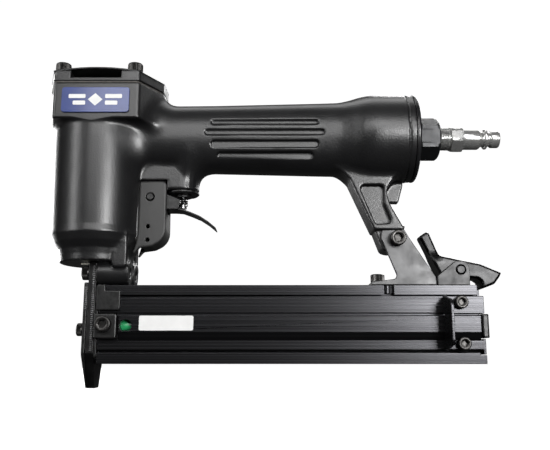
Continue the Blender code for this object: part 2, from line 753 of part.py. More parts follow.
def trigger_valve():
    """Bushing in the boss, with the sprung stem that the trigger pushes up."""
    bushing = turned("Z", (STEM_X, 0, 0), [
        (6.7, 121.0), (6.7, 117.5), (5.6, 117.5), (5.6, 115.5), (6.7, 115.5), (6.7, BOSS_BOTTOM - GAP),
        (9.2, BOSS_BOTTOM - GAP), (9.2, 107.9), (8.3, 107.1), (4.6, 107.1), (4.6, 105.8), (1.9, 105.8),
        (1.9, 121.0),
    ], 20, True)
    finish("valve_bushing", bushing, "black_oxide")
    finish("valve_oring", turned("Z", (STEM_X, 0, 0), [
        (6.9, 117.0), (6.9, 116.0), (5.9, 116.0), (5.9, 117.0),
    ], 24, True), "rubber")
    stem = turned("Z", (STEM_X, 0, 0), [
        (0, 127.5), (2.4, 127.5), (2.4, 122.0), (1.5, 121.4), (1.5, 101.0), (2.2, 100.6), (2.2, 99.6),
        (0.8, 99.1), (0, 99.1),
    ], 16)
    finish("valve_stem", stem, "satin_steel", (STEM_X, 0, 99.1))
    spring = coil("Z", (STEM_X, 0, 101.4), 2.5, 0.35, 3.6, 3, 10, 1)
    finish("valve_spring", spring, "satin_steel")


# ---------------------------------------------------------------- nose

def nose():
    """Front plate, slotted driver guide, rear plate, seal and their screws."""
    half = NOSE_HALF_WIDTH
    front = plate("X", rounded([
        (-half, 56.3, 1), (-half, 18.5, 2), (-4.6, 0.0, 0), (4.6, 0.0, 0), (half, 18.5, 2), (half, 56.3, 1),
    ]), FRONT_FACE, GUIDE_FRONT - GAP)
    nib = plate("Y", [(-6.0, 17.0), (FRONT_FACE, 17.0), (-2.7, 0.0), (-2.7, -2.0), (-6.0, -2.0)], -20, 20)
    cut(front, nib)
    guide = plate("X", rounded([
        (-half, BARREL_BOTTOM - GAP, 0.5), (-half, 18.5, 2), (-4.6, 0.0, 0), (4.6, 0.0, 0),
        (half, 18.5, 2), (half, BARREL_BOTTOM - GAP, 0.5),
    ]), GUIDE_FRONT, GUIDE_BACK)
    cut(guide, box((-4.0, CHANNEL_BACK), (-1.1, 1.1), (-2.0, 80.0)))
    cut(guide, box((-4.0, 4.0), (-1.0, 1.0), (LIP_BOTTOM + 0.6, LIP_TOP - 0.6)))
    rear = plate("X", rounded([
        (-half, 54.6, 1), (-half, 15.4, 2), (half, 15.4, 2), (half, 54.6, 1),
    ]), GUIDE_BACK + GAP, 4.0)
    cut(rear, box((2.0, 6.0), (-1.1, 1.1), (LIP_BOTTOM + 0.6, LIP_TOP - 0.6)))
    for number, side in enumerate((-1, 1), 1):
        cut(guide, rod("X", (0, side * LUG_Y, LUG_Z), 2.8, 20, 16))
        cut(guide, rod("X", (0, side * LUG_Y, FRONT_SCREW_Z), 2.3, 20, 16))
        cut(front, rod("X", (0, side * LUG_Y, FRONT_SCREW_Z), 2.3, 20, 16))
        upper = (GUIDE_FRONT - GAP, side * LUG_Y, LUG_Z)
        lower = (FRONT_FACE - GAP, side * LUG_Y, FRONT_SCREW_Z)
        socket_screw(f"nose_screw_{number}", "X", upper, -1, NOSE_SCREW, 14.0)
        socket_screw(f"front_screw_{number}", "X", lower, -1, FRONT_SCREW, 5.8)
    finish("nose_front_plate", front, "black_oxide")
    finish("driver_guide", guide, "zinc_plate")
    finish("nose_rear_plate", rear, "black_oxide")
    seal = box((-7.2, GUIDE_FRONT - GAP), (-10.0, 10.0), (66.2, BARREL_BOTTOM - GAP))
    cut(seal, box((-2.8, 2.0), (-1.8, 1.8), (60.0, 70.0)))
    finish("nose_seal", bevelled(seal, 0.4), "bumper_rubber")


def nose_side():
    """L-shaped guide plate and screw block on the near side of the magazine's front."""
    bracket = plate("Y", rounded([
        (3.6, 41.2, 0.5), (16.0, 41.2, 0.5), (16.0, 51.4, 0.5),
        (7.8, 51.4, 0.5), (7.8, 54.7, 0.4), (3.6, 54.7, 0.4),
    ], 2), -14.2, -MAG_HALF_WIDTH - GAP)
    finish("nose_bracket", bevelled(bracket, 0.3), "black_oxide")
    block = box((2.9, 15.2), (-16.4, -MAG_HALF_WIDTH - GAP), (25.9, 39.2))
    bevelled(block, 0.5)
    cut(block, rod("Y", (8.5, -14, 33.5), 2.8, 10, 16))
    finish("screw_block", block, "black_oxide")
    socket_screw("side_screw", "Y", (8.5, -16.4 - GAP, 33.5), -1, SIDE_SCREW, 3.6)


# ---------------------------------------------------------------- magazine

def magazine_fixed():
    """Far half: a channel with top and bottom flanges, grooved for the slide's tongues."""
    core = CHANNEL_HALF_WIDTH
    half = MAG_HALF_WIDTH
    top = LIP_TOP
    bottom = LIP_BOTTOM
    near, far = TONGUE_Y
    outline = [
        (-half, MAG_BOTTOM), (half, MAG_BOTTOM), (half, MAG_TOP), (-half, MAG_TOP), (-half, top),
        (near, top), (near, top + TONGUE), (far, top + TONGUE), (far, top), (core, top),
        (core, bottom), (far, bottom), (far, bottom - TONGUE), (near, bottom - TONGUE),
        (near, bottom), (-half, bottom),
    ]
    body = plate("X", outline, MAG_FRONT, MAG_REAR)
    cut(body, rod("Z", (161.0, -half, 53.0), 2.6, 8.0, 16))
    cut(body, rod("Z", (156.7, 0, 52.0), 2.8, 10.0, 16))
    join(body, box((MAG_REAR - 1.0, MAG_REAR + 3.4), (-half, half), (MAG_BOTTOM, bottom - TONGUE - 0.1)))
    cut(body, box((20.0, 195.0), (5.0, 20.0), (27.0, 42.0)))
    finish("magazine_fixed", body, "black_anodised")


def magazine_slide():
    """Near half: it runs on tongues, and its hollow rail holds the pusher's rod and spring."""
    half = MAG_HALF_WIDTH
    inner = -CHANNEL_HALF_WIDTH
    top = 49.2
    bottom = LIP_BOTTOM + GAP
    near, far = TONGUE_Y[0] + GAP, TONGUE_Y[1] - GAP
    front = MAG_FRONT + GAP
    rear = 209.3
    body = box((front, rear), (-half, inner), (bottom, top))
    join(body, box((front, rear), (near, far), (top - 1.0, LIP_TOP + TONGUE - GAP)))
    join(body, box((front, rear), (near, far), (LIP_BOTTOM - TONGUE + GAP, bottom + 1.0)))
    rail = [(1.0 - half, 38.6), (RAIL_FACE, 38.1), (RAIL_FACE, 29.3), (-half, 26.4), (1.0 - half, 26.4)]
    join(body, plate("X", rail, 15.7, rear - 0.1))
    cut(body, rod("X", (100.0, ROD_Y, ROD_Z), ROD_BORE, 260.0, 16))
    cut(body, box((0.0, 250.0), (ROD_Y, 1.0), (ROD_Z - 1.5, ROD_Z + 1.5)))
    cut(body, rod("Y", (19.7, -13.0, 32.8), 3.2, 6.0, 20))
    for x, z in TAB_SCREWS:
        cut(body, rod("Y", (x, -10.0, z), 2.3, 6.0, 14))
    finish("magazine_slide", body, "black_anodised")


def slide_fittings():
    """Pull bracket, its screws, the rail's end cap, the pusher's rod and the label."""
    face = -MAG_HALF_WIDTH - GAP
    back = face - 1.5
    tab = plate("X", rounded([
        (-30.0, 22.5, 3), (back + 0.4, 20.3, 0), (back + 0.4, 48.7, 0), (-30.0, 45.5, 4),
    ]), TAB_X, TAB_X + 1.6)
    upper = box((TAB_X, 211.4), (back, face), (39.3, 48.7))
    lower = box((TAB_X, 211.4), (back, face), (20.3, 25.2))
    end = plate("X", [
        (back, 17.7), (6.0, 17.7), (6.0, 52.7), (-6.0, 52.7), (-6.0, 48.7), (back, 48.7),
    ], 209.9, 211.4)
    body = join(tab, upper, lower, end)
    cut(body, box((180.0, 220.0), (-15.0, -3.0), (25.9, 39.3)))
    cut(body, box((200.0, 220.0), (0.6, 20.0), (10.0, 60.0)))
    for number, (x, z) in enumerate(TAB_SCREWS, 1):
        cut(body, rod("Y", (x, -12.0, z), 2.3, 6.0, 14))
        socket_screw(f"tab_screw_{number}", "Y", (x, back - GAP, z), -1, M4, 4.4)
    finish("pull_bracket", body, "black_anodised")
    end_cap = box((209.7, 213.2), (RAIL_FACE - 0.2, -3.6), (26.4, 39.0))
    cut(end_cap, rod("X", (211.0, ROD_Y, ROD_Z), 1.3, 10.0, 14))
    finish("slide_end_cap", bevelled(end_cap, 0.4), "black_oxide")
    finish("pusher_rod", rod("X", (110.0, ROD_Y, ROD_Z), 1.0, 205.0, 12), "satin_steel")
    label = plate("Y", rounded([
        (26.9, 30.2, 0.8), (55.9, 30.2, 0.8), (55.9, 38.1, 0.8), (26.9, 38.1, 0.8),
    ], 2), RAIL_FACE - GAP - 0.25, RAIL_FACE - GAP)
    finish("reload_label", label, "label_white")


def pusher():
    """Follower blade in the brads' channel, carried by a block that slides on the rod."""
    start, end = 9.0, 33.0
    centre = (start + end) / 2
    block = rod("X", (centre, ROD_Y, ROD_Z), 2.35, end - start, 14)
    join(block, box((start + 1, 13.0), (ROD_Y + 1.0, 0.0), (ROD_Z - 1.0, ROD_Z + 1.0)))
    join(block, box((27.0, end - 1), (ROD_Y + 1.0, 0.0), (ROD_Z - 1.0, ROD_Z + 1.0)))
    join(block, box((start - 3, end - 2), (-0.55, 0.55), (LIP_BOTTOM + 1.0, LIP_TOP - 1.6)))
    cut(block, rod("X", (centre, ROD_Y, ROD_Z), 1.35, 60.0, 12))
    finish("pusher", block, "satin_steel", (start, ROD_Y, ROD_Z))
    finish("reload_indicator", turned("X", (0, ROD_Y, ROD_Z), [
        (3.1, 26.5), (3.1, 13.5), (2.65, 13.5), (2.65, 26.5),
    ], 16, True), "indicator_green", (start, ROD_Y, ROD_Z))
    length = 208.0 - end - 1.0
    finish("pusher_spring", coil("X", (end + 0.8, ROD_Y, ROD_Z), 2.2, 0.4, length, 18, 6), "satin_steel")


# ---------------------------------------------------------------- rear bracket and latch

def rear_bracket():
    """Folded strap that ties the near side of the arm's tongue to the top of the magazine."""
    outer, sheet = 10.0, 1.7
    bottom = MAG_TOP + GAP
    ear = rounded([
        (152.0, bottom, 0), (187.5, bottom, 0), (187.3, 59.4, 1), (173.2, 81.6, 2), (170.9, 85.8, 1.2),
        (158.2, 85.4, 1.2), (157.9, 80.8, 4), (166.6, 58.6, 2), (152.0, bottom + sheet, 0),
    ], 5)
    body = plate("Y", ear, -outer, outer)
    cut(body, box((130, 200), (-outer + sheet, outer + 1.0), (bottom + sheet, 100)))
    cut(body, rod("Y", (ARM_SCREW[0], 0, ARM_SCREW[1]), 2.8, 40, 18))
    cut(body, rod("Z", (156.7, 0, 57), 2.8, 10, 16))
    finish("rear_bracket", body, "satin_steel")
    socket_screw("arm_screw", "Y", (ARM_SCREW[0], -outer - GAP, ARM_SCREW[1]), -1, M5, 22.4)
    nut_middle = TONGUE_HALF_WIDTH + GAP + 2.0
    nut = rod("Y", (ARM_SCREW[0], nut_middle, ARM_SCREW[1]), 4.6, 4.0, 6, 30)
    cut(nut, rod("Y", (ARM_SCREW[0], nut_middle, ARM_SCREW[1]), 2.8, 20, 16))
    finish("arm_nut", nut, "black_oxide")
    socket_screw("magazine_screw", "Z", (156.7, 0, bottom + sheet + GAP), 1, MAGAZINE_SCREW, 6.6)


def latch():
    """Two-eared bracket with the hooked lever on its pin."""
    outer, sheet = 9.0, 1.5
    bottom = MAG_TOP + GAP
    ear = rounded([
        (188.4, bottom, 0), (206.0, bottom, 0), (206.2, 62.8, 1), (205.3, 68.2, 3.2), (198.3, 68.2, 1.5),
        (188.4, 60.2, 0.5),
    ], 4)
    body = plate("Y", ear, -outer, outer)
    cut(body, box((180, 220), (-outer + sheet, outer - sheet), (bottom + sheet, 80)))
    cut(body, rod("Y", LATCH_PIVOT, LATCH_PIN_RADIUS + GAP, 30, 20))
    finish("latch_bracket", body, "satin_steel")
    lever = plate("Y", rounded([
        (180.0, 82.8, 1.2), (185.2, 86.2, 1.6), (190.8, 71.8, 2.5), (203.6, 69.0, 2), (212.6, 67.2, 2),
        (224.4, 62.2, 0.6), (223.0, 59.6, 1), (220.2, 56.0, 2), (213.6, 53.4, 0.8), (212.8, 57.4, 1),
        (210.8, 58.9, 1), (203.0, 59.4, 1), (190.6, 60.4, 1),
    ], 3), -6.9, 6.9)
    cut(lever, rod("Y", LATCH_PIVOT, LATCH_PIN_RADIUS + GAP, 30, 20))
    cut(lever, box((195.6, 207.0), (-3.0, 3.0), (50.0, 66.9)))
    cut(lever, rod("Y", LATCH_PIVOT, 4.6, 6.0, 16))
    for side in (-1, 1):
        cut(lever, box((170.0, 189.6), span(side, 4.9, 8.0), (64.0, 90.0)))
    finish("latch_lever", bevelled(lever, 0.5, 1, 60), "zinc_plate", LATCH_PIVOT)
    pin = rod("Y", LATCH_PIVOT, LATCH_PIN_RADIUS, 2 * outer + 1.0, 20)
    finish("latch_pin", bevelled(pin, 0.35), "satin_steel")
    x, _, z = LATCH_PIVOT
    spring = coil("Y", (x, 1.8, z), 3.5, 0.45, 3.6, 3, 10)
    finish("latch_spring", spring, "satin_steel")


def main():
    global parts, cutters, frame
    clear_scene()
    for name, (colour, roughness, metallic) in MATERIALS.items():
        material(name, colour, roughness, metallic)
    parts = collection("brad_nailer")
    cutters = collection("cutters")
    frame = bpy.data.objects.new("nailer_frame", None)
    frame.location = (-ORIGIN_X * MM, 0.0, 0.0)
    parts.objects.link(frame)
    housing()
    cap()
    exhaust_plate()
    badge()
    drive_train()
    air_inlet()
    trigger_guard()
    trigger()
    trigger_valve()
    nose()
    nose_side()
    magazine_fixed()
    magazine_slide()
    slide_fittings()
    pusher()
    rear_bracket()
    latch()


main()
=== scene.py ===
import json
import math

import bmesh
import bpy
import numpy as np
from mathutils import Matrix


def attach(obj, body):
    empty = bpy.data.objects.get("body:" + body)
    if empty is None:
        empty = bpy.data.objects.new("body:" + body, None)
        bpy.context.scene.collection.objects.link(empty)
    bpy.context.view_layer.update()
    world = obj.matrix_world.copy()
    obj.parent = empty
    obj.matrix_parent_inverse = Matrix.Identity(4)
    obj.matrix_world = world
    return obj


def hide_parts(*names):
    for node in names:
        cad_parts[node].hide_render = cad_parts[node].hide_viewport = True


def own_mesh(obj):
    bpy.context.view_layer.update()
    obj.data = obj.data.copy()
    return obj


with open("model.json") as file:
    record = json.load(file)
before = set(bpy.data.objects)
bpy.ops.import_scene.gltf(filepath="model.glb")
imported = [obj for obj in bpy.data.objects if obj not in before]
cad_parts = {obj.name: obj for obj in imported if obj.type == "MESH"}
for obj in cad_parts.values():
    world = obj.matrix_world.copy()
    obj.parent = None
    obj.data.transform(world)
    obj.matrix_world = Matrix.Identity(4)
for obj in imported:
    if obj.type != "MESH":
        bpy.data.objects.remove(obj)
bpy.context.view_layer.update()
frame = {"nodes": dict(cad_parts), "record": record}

import openvdb
from mathutils import Matrix, Vector

MM = 0.001
# Shapes are drawn in millimetres from a zero that lies this far in front of the origin
SHIFT = -1.1
NODES = frame["nodes"]
BODY = {node: body for body, nodes in frame["record"]["behaviour"]["bodies"].items() for node in nodes}
SLOT = {part["node"]: part["material_slot"] for part in frame["record"]["subparts"]}


# ---------------------------------------------------------------- materials

class Look:
    """A Principled material with helpers for procedural texture."""

    def __init__(self, name, colour, roughness, metallic=0.0, **sockets):
        self.made = bpy.data.materials.new(name)
        self.made.use_nodes = True
        self.tree = self.made.node_tree
        self.shader = self.tree.nodes["Principled BSDF"]
        self.set("Base Color", (*colour, 1.0))
        self.set("Roughness", roughness)
        self.set("Metallic", metallic)
        for socket, value in sockets.items():
            self.set(socket.replace("_", " "), value)
        self.place = self.tree.nodes.new("ShaderNodeTexCoord").outputs["Object"]
        self.normal = None

    def set(self, socket, value):
        self.shader.inputs[socket].default_value = value

    def noise(self, scale, detail=3.0, roughness=0.55, stretch=(1.0, 1.0, 1.0)):
        mapping = self.tree.nodes.new("ShaderNodeMapping")
        mapping.inputs["Scale"].default_value = stretch
        self.tree.links.new(self.place, mapping.inputs["Vector"])
        texture = self.tree.nodes.new("ShaderNodeTexNoise")
        texture.inputs["Scale"].default_value = scale
        texture.inputs["Detail"].default_value = detail
        texture.inputs["Roughness"].default_value = roughness
        self.tree.links.new(mapping.outputs["Vector"], texture.inputs["Vector"])
        return texture.outputs["Fac"]

    def ramp(self, factor, low, high, start=0.3, end=0.7):
        spread = self.tree.nodes.new("ShaderNodeMapRange")
        spread.inputs["From Min"].default_value = start
        spread.inputs["From Max"].default_value = end
        spread.inputs["To Min"].default_value = low
        spread.inputs["To Max"].default_value = high
        self.tree.links.new(factor, spread.inputs["Value"])
        return spread.outputs["Result"]

    def vary(self, socket, factor, low, high, start=0.3, end=0.7):
        self.tree.links.new(self.ramp(factor, low, high, start, end), self.shader.inputs[socket])
        return self

    def tint(self, factor, low, high, start=0.3, end=0.7):
        mix = self.tree.nodes.new("ShaderNodeMix")
        mix.data_type = "RGBA"
        mix.inputs["A"].default_value = (*low, 1.0)
        mix.inputs["B"].default_value = (*high, 1.0)
        self.tree.links.new(self.ramp(factor, 0.0, 1.0, start, end), mix.inputs["Factor"])
        self.tree.links.new(mix.outputs["Result"], self.shader.inputs["Base Color"])
        return self

    def bump(self, factor, depth, strength=1.0):
        """Adds relief whose depth is in metres."""
        node = self.tree.nodes.new("ShaderNodeBump")
        node.inputs["Strength"].default_value = strength
        node.inputs["Distance"].default_value = depth
        self.tree.links.new(factor, node.inputs["Height"])
        if self.normal:
            self.tree.links.new(self.normal, node.inputs["Normal"])
        self.normal = node.outputs["Normal"]
        self.tree.links.new(self.normal, self.shader.inputs["Normal"])
        return self


def make_looks():
    looks = {}

    paint = Look("casting_paint", (0.008, 0.008, 0.009), 0.4, 0.0, Coat_Weight=0.35, Coat_Roughness=0.28)
    paint.bump(paint.noise(1150.0, 2.0), 0.00016, 0.7)
    paint.bump(paint.noise(220.0, 3.0), 0.00008, 0.35)
    paint.vary("Roughness", paint.noise(90.0, 4.0), 0.3, 0.38)
    paint.tint(paint.noise(35.0, 4.0), (0.006, 0.006, 0.0065), (0.011, 0.011, 0.0115))
    looks["black_paint"] = paint

    sheet = Look("guard_paint", (0.03, 0.03, 0.03), 0.5)
    sheet.bump(sheet.noise(1900.0, 2.0), 0.00005, 0.5)
    sheet.vary("Roughness", sheet.noise(120.0, 4.0), 0.42, 0.56)
    sheet.tint(sheet.noise(60.0, 4.0), (0.03, 0.03, 0.03), (0.045, 0.045, 0.044))
    looks["guard_paint"] = sheet

    anodised = Look("black_anodised", (0.03, 0.03, 0.034), 0.3, 0.9)
    anodised.bump(anodised.noise(1.0, 3.0, 0.6, (0.0, 900.0, 2400.0)), 0.00002, 0.4)
    anodised.vary("Roughness", anodised.noise(1.0, 3.0, 0.5, (0.0, 500.0, 1200.0)), 0.22, 0.34)
    streaks = anodised.noise(1.0, 3.0, 0.5, (0.4, 500.0, 1100.0))
    anodised.tint(streaks, (0.024, 0.024, 0.026), (0.044, 0.044, 0.047))
    looks["black_anodised"] = anodised

    oxide = Look("black_oxide", (0.04, 0.04, 0.04), 0.38, 0.8)
    oxide.bump(oxide.noise(1300.0, 3.0), 0.00002, 0.4)
    oxide.vary("Roughness", oxide.noise(300.0, 4.0), 0.3, 0.42)
    oxide.tint(oxide.noise(420.0, 4.0), (0.028, 0.028, 0.028), (0.05, 0.05, 0.05))
    looks["black_oxide"] = oxide

    screw = Look("screw_oxide", (0.045, 0.044, 0.043), 0.32, 0.9)
    screw.bump(screw.noise(1600.0, 3.0), 0.00004, 0.4)
    screw.vary("Roughness", screw.noise(500.0, 4.0), 0.25, 0.42)
    screw.tint(screw.noise(700.0, 4.0), (0.03, 0.029, 0.028), (0.062, 0.06, 0.058))
    looks["screw_oxide"] = screw

    for name, grey, rough in (
        ("satin_steel", 0.5, 0.3), ("zinc_plate", 0.52, 0.26), ("bracket_steel", 0.065, 0.4),
        ("latch_steel", 0.03, 0.34), ("lever_steel", 0.024, 0.3), ("guide_steel", 0.05, 0.34),
    ):
        colour = (grey, grey, grey * 1.01)
        steel = Look(name, colour, rough, 1.0)
        steel.bump(steel.noise(900.0, 2.0), 0.00001, 0.3)
        steel.vary("Roughness", steel.noise(160.0, 4.0), rough - 0.06, rough + 0.08)
        steel.tint(steel.noise(90.0, 4.0), tuple(c * 0.85 for c in colour), tuple(c * 1.1 for c in colour))
        looks[name] = steel

    chrome = Look("bright_chrome", (0.5, 0.5, 0.49), 0.2, 0.75)
    chrome.vary("Roughness", chrome.noise(400.0, 3.0), 0.16, 0.26)
    chrome.tint(chrome.noise(250.0, 3.0), (0.44, 0.44, 0.43), (0.54, 0.54, 0.53))
    looks["bright_chrome"] = chrome

    cover = Look("cap_paint", (0.01, 0.01, 0.011), 0.3, 0.0, Coat_Weight=0.15, Coat_Roughness=0.2)
    cover.bump(cover.noise(1500.0, 2.0), 0.00003, 0.4)
    cover.vary("Roughness", cover.noise(90.0, 4.0), 0.24, 0.36)
    cover.tint(cover.noise(60.0, 4.0), (0.008, 0.008, 0.009), (0.013, 0.013, 0.014))
    looks["cap_paint"] = cover

    nut = Look("adapter_oxide", (0.02, 0.021, 0.022), 0.36, 0.5)
    nut.bump(nut.noise(1200.0, 3.0), 0.00003, 0.4)
    nut.vary("Roughness", nut.noise(200.0, 4.0), 0.32, 0.44)
    nut.tint(nut.noise(180.0, 4.0), (0.016, 0.0165, 0.0175), (0.024, 0.0245, 0.026))
    looks["adapter_oxide"] = nut

    alloy = Look("aluminium", (0.72, 0.72, 0.74), 0.3, 1.0)
    alloy.vary("Roughness", alloy.noise(1.0, 3.0, 0.5, (400.0, 400.0, 1600.0)), 0.22, 0.38)
    alloy.tint(alloy.noise(150.0, 3.0), (0.66, 0.66, 0.68), (0.76, 0.76, 0.78))
    looks["aluminium"] = alloy

    rubber = Look("rubber", (0.02, 0.02, 0.02), 0.75)
    rubber.bump(rubber.noise(1500.0, 2.0), 0.00003, 0.5)
    rubber.tint(rubber.noise(300.0, 3.0), (0.015, 0.015, 0.015), (0.03, 0.03, 0.03))
    looks["rubber"] = rubber

    cream = Look("bumper_rubber", (0.75, 0.72, 0.62), 0.55, 0.0, Subsurface_Weight=0.05)
    cream.bump(cream.noise(900.0, 3.0), 0.00004, 0.5)
    cream.tint(cream.noise(250.0, 3.0), (0.6, 0.58, 0.5), (0.8, 0.78, 0.7))
    looks["bumper_rubber"] = cream

    fibre = Look("gasket_paper", (0.1, 0.095, 0.09), 0.85)
    fibre.bump(fibre.noise(1400.0, 4.0), 0.00005, 0.6)
    fibre.tint(fibre.noise(500.0, 4.0), (0.07, 0.066, 0.06), (0.14, 0.13, 0.12))
    looks["gasket_paper"] = fibre

    blue = Look("badge_blue", (0.014, 0.04, 0.24), 0.35, 0.0, Coat_Weight=0.6, Coat_Roughness=0.12)
    blue.tint(blue.noise(120.0, 3.0), (0.009, 0.027, 0.15), (0.012, 0.035, 0.19))
    looks["badge_blue"] = blue

    white = Look("label_white", (0.74, 0.74, 0.73), 0.55)
    white.tint(white.noise(200.0, 3.0), (0.71, 0.71, 0.7), (0.77, 0.77, 0.76))
    looks["label_white"] = white

    green = Look("indicator_green", (0.02, 0.36, 0.12), 0.4, 0.0, Coat_Weight=0.3)
    green.tint(green.noise(600.0, 3.0), (0.02, 0.3, 0.1), (0.03, 0.42, 0.15))
    looks["indicator_green"] = green
    return looks


LOOKS = make_looks()


def paint(thing, look):
    thing.data.materials.clear()
    thing.data.materials.append(LOOKS[look].made)


# ---------------------------------------------------------------- meshes

def show(name, mesh, look, body, stands_for=(), sharp=32.0):
    """Puts a mesh in the scene as a piece that rides on a body."""
    thing = bpy.data.objects.new(name, mesh)
    bpy.context.scene.collection.objects.link(thing)
    paint(thing, look)
    mesh.shade_smooth()
    mesh.set_sharp_from_angle(angle=math.radians(sharp))
    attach(thing, body)
    if stands_for:
        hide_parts(*stands_for)
    return thing


def to_mesh(name, points, faces):
    """A mesh from points in drawing millimetres."""
    placed = (np.asarray(points, float) + (SHIFT, 0.0, 0.0)) * MM
    mesh = bpy.data.meshes.new(name)
    mesh.from_pydata(placed.tolist(), [], [list(map(int, face)) for face in faces])
    mesh.update()
    return mesh


def smooth_step(value):
    value = np.clip(value, 0.0, 1.0)
    return value * value * (3.0 - 2.0 * value)


# ---------------------------------------------------------------- distance fields

def outline_distance(outline, u, v):
    """Distance from points to a closed outline, negative inside."""
    nearest = np.full(np.broadcast(u, v).shape, 1e9, np.float32)
    inside = np.zeros(nearest.shape, bool)
    for (ax, ay), (bx, by) in zip(outline, outline[1:] + outline[:1]):
        ex, ey = bx - ax, by - ay
        px, py = u - ax, v - ay
        along = np.clip((px * ex + py * ey) / (ex * ex + ey * ey), 0.0, 1.0)
        nearest = np.minimum(nearest, (px - ex * along) ** 2 + (py - ey * along) ** 2)
        if ay != by:
            inside ^= ((ay > v) != (by > v)) & (px < ex * (v - ay) / ey)
    return np.where(inside, -1.0, 1.0).astype(np.float32) * np.sqrt(nearest)


def slab(flat, along, low, high, edge=0.0):
    """A flat shape's distance carried between two limits, with its edges rounded."""
    a = flat + edge
    b = np.abs(along - (low + high) / 2) - (high - low) / 2 + edge
    outside = np.sqrt(np.maximum(a, 0.0) ** 2 + np.maximum(b, 0.0) ** 2)
    return np.minimum(np.maximum(a, b), 0.0) + outside - edge


def capsule(u, v, start, end, radius):
    """Distance to a rounded bar between two points of a plane."""
    ex, ey = end[0] - start[0], end[1] - start[1]
    px, py = u - start[0], v - start[1]
    along = np.clip((px * ex + py * ey) / (ex * ex + ey * ey), 0.0, 1.0)
    return np.sqrt((px - ex * along) ** 2 + (py - ey * along) ** 2) - radius


def blend(a, b, reach):
    """The nearer of two distances, with a fillet of the given reach where they meet."""
    if np.max(reach) <= 0:
        return np.minimum(a, b)
    overlap = np.maximum(reach - np.abs(a - b), 0.0) / reach
    return np.minimum(a, b) - overlap * overlap * reach / 4


class Casting:
    """A solid kept as a grid of distances, built up and cut away a region at a time."""

    def __init__(self, low, high, step):
        self.step = step
        self.axes = [np.arange(a, b, step, dtype=np.float32) for a, b in zip(low, high)]
        self.grid = np.full([len(axis) for axis in self.axes], 50.0, np.float32)

    def region(self, box):
        cuts = []
        for axis, limits in zip(self.axes, box):
            first, last = np.searchsorted(axis, limits)
            cuts.append(slice(int(first), int(last)))
        x, y, z = (axis[cut] for axis, cut in zip(self.axes, cuts))
        return tuple(cuts), x[:, None, None], y[None, :, None], z[None, None, :]

    def add(self, shape, box, fillet=0.0):
        """Joins a shape on; its fillet is a size, or a rule that gives one at each place."""
        cuts, x, y, z = self.region(box)
        reach = fillet(x, y, z) if callable(fillet) else fillet
        self.grid[cuts] = blend(self.grid[cuts], shape(x, y, z), reach)

    def cut(self, shape, box, fillet=0.0):
        cuts, x, y, z = self.region(box)
        self.grid[cuts] = -blend(-self.grid[cuts], shape(x, y, z), fillet)

    def mesh(self, name):
        volume = openvdb.FloatGrid(50.0)
        volume.copyFromArray(self.grid)
        points, triangles, quads = volume.convertToPolygons(0.0, 0.0)
        points = points * self.step + [axis[0] for axis in self.axes]
        faces = [tuple(face) for face in triangles] + [tuple(face) for face in quads]
        mesh = to_mesh(name, points, faces)
        shape = bmesh.new()
        shape.from_mesh(mesh)
        bmesh.ops.recalc_face_normals(shape, faces=shape.faces)
        if shape.calc_volume(signed=True) < 0:
            bmesh.ops.reverse_faces(shape, faces=shape.faces)
        shape.to_mesh(mesh)
        shape.free()
        return mesh


def rounded(corners, steps=6):
    """Points round an outline whose corners are (x, y, radius)."""
    points = []
    count = len(corners)
    for index, (x, y, radius) in enumerate(corners):
        corner = Vector((x, y))
        if radius <= 0:
            points.append((x, y))
            continue
        before = (Vector(corners[index - 1][:2]) - corner).normalized()
        after = (Vector(corners[(index + 1) % count][:2]) - corner).normalized()
        half = before.angle(after) / 2
        centre = corner + (before + after).normalized() * radius / math.sin(half)
        start = corner + before * radius / math.tan(half) - centre
        end = corner + after * radius / math.tan(half) - centre
        sweep = start.angle_signed(end)
        for step in range(steps + 1):
            points.append(tuple(centre + Matrix.Rotation(-sweep * step / steps, 2) @ start))
    return points


# ---------------------------------------------------------------- casting

STEP = 0.5
SMOOTHING = 3.5
DRIVE_X = -1.0
HEAD_HALF_DEPTH = 27.0
AIR_Z = 141.0
GRIP_Z = 140.4
GRIP_START = 12.0
GRIP_HALF_HEIGHT = 20.2
GRIP_HALF_WIDTH = 17.2
GRIP_POWER = 2.4
BELL_END = 177.3
BELL_RADIUS = 25.15
VALVE_X = 46.8
NOSE_SCREW = (8.0, 61.8)
CAP_SCREW_X = (-20.5, 20.2)
CAP_SCREW_Y = 18.0
ARM_SCREW = (166.8, 80.6)
BARREL = [
    (0, 146.0), (26.7, 146.0), (26.7, 136.0), (25.5, 86.5), (25.8, 82.6), (23.9, 78.3),
    (21.2, 74.6), (20.4, 71.3), (20.0, 67.6), (0, 67.6),
]
HANDLE = [
    (GRIP_START, 141.5, 19.0, 15.0, 2.4), (38, 140.4, 19.3, 16.6, 2.4), (65, 140.4, 19.5, 17.0, 2.4),
    (100, 140.4, 20.3, 17.4, 2.4), (125, 140.4, 20.9, 17.6, 2.4), (136, 140.5, 21.2, 18.6, 2.3),
    (142, 140.7, 22.3, 20.6, 2.2), (148, 140.9, 24.1, 23.4, 2.05), (153.5, 141.0, 25.1, 24.9, 2.0),
    (158, AIR_Z, BELL_RADIUS, BELL_RADIUS, 2.0), (BELL_END, AIR_Z, BELL_RADIUS, BELL_RADIUS, 2.0),
]


def head_plan():
    """The flange's outline, seen from above."""
    return rounded([
        (-28.7, -7.5, 4), (-22.4, -HEAD_HALF_DEPTH, 2), (24.5, -HEAD_HALF_DEPTH, 2.5), (35.4, -7.5, 4),
        (35.4, 7.5, 4), (24.5, HEAD_HALF_DEPTH, 2.5),
        (-22.4, HEAD_HALF_DEPTH, 2), (-28.7, 7.5, 4),
    ])


def turned_about_z(profile, x0=DRIVE_X):
    return lambda x, y, z: outline_distance(profile, np.sqrt((x - x0) ** 2 + y * y), z)


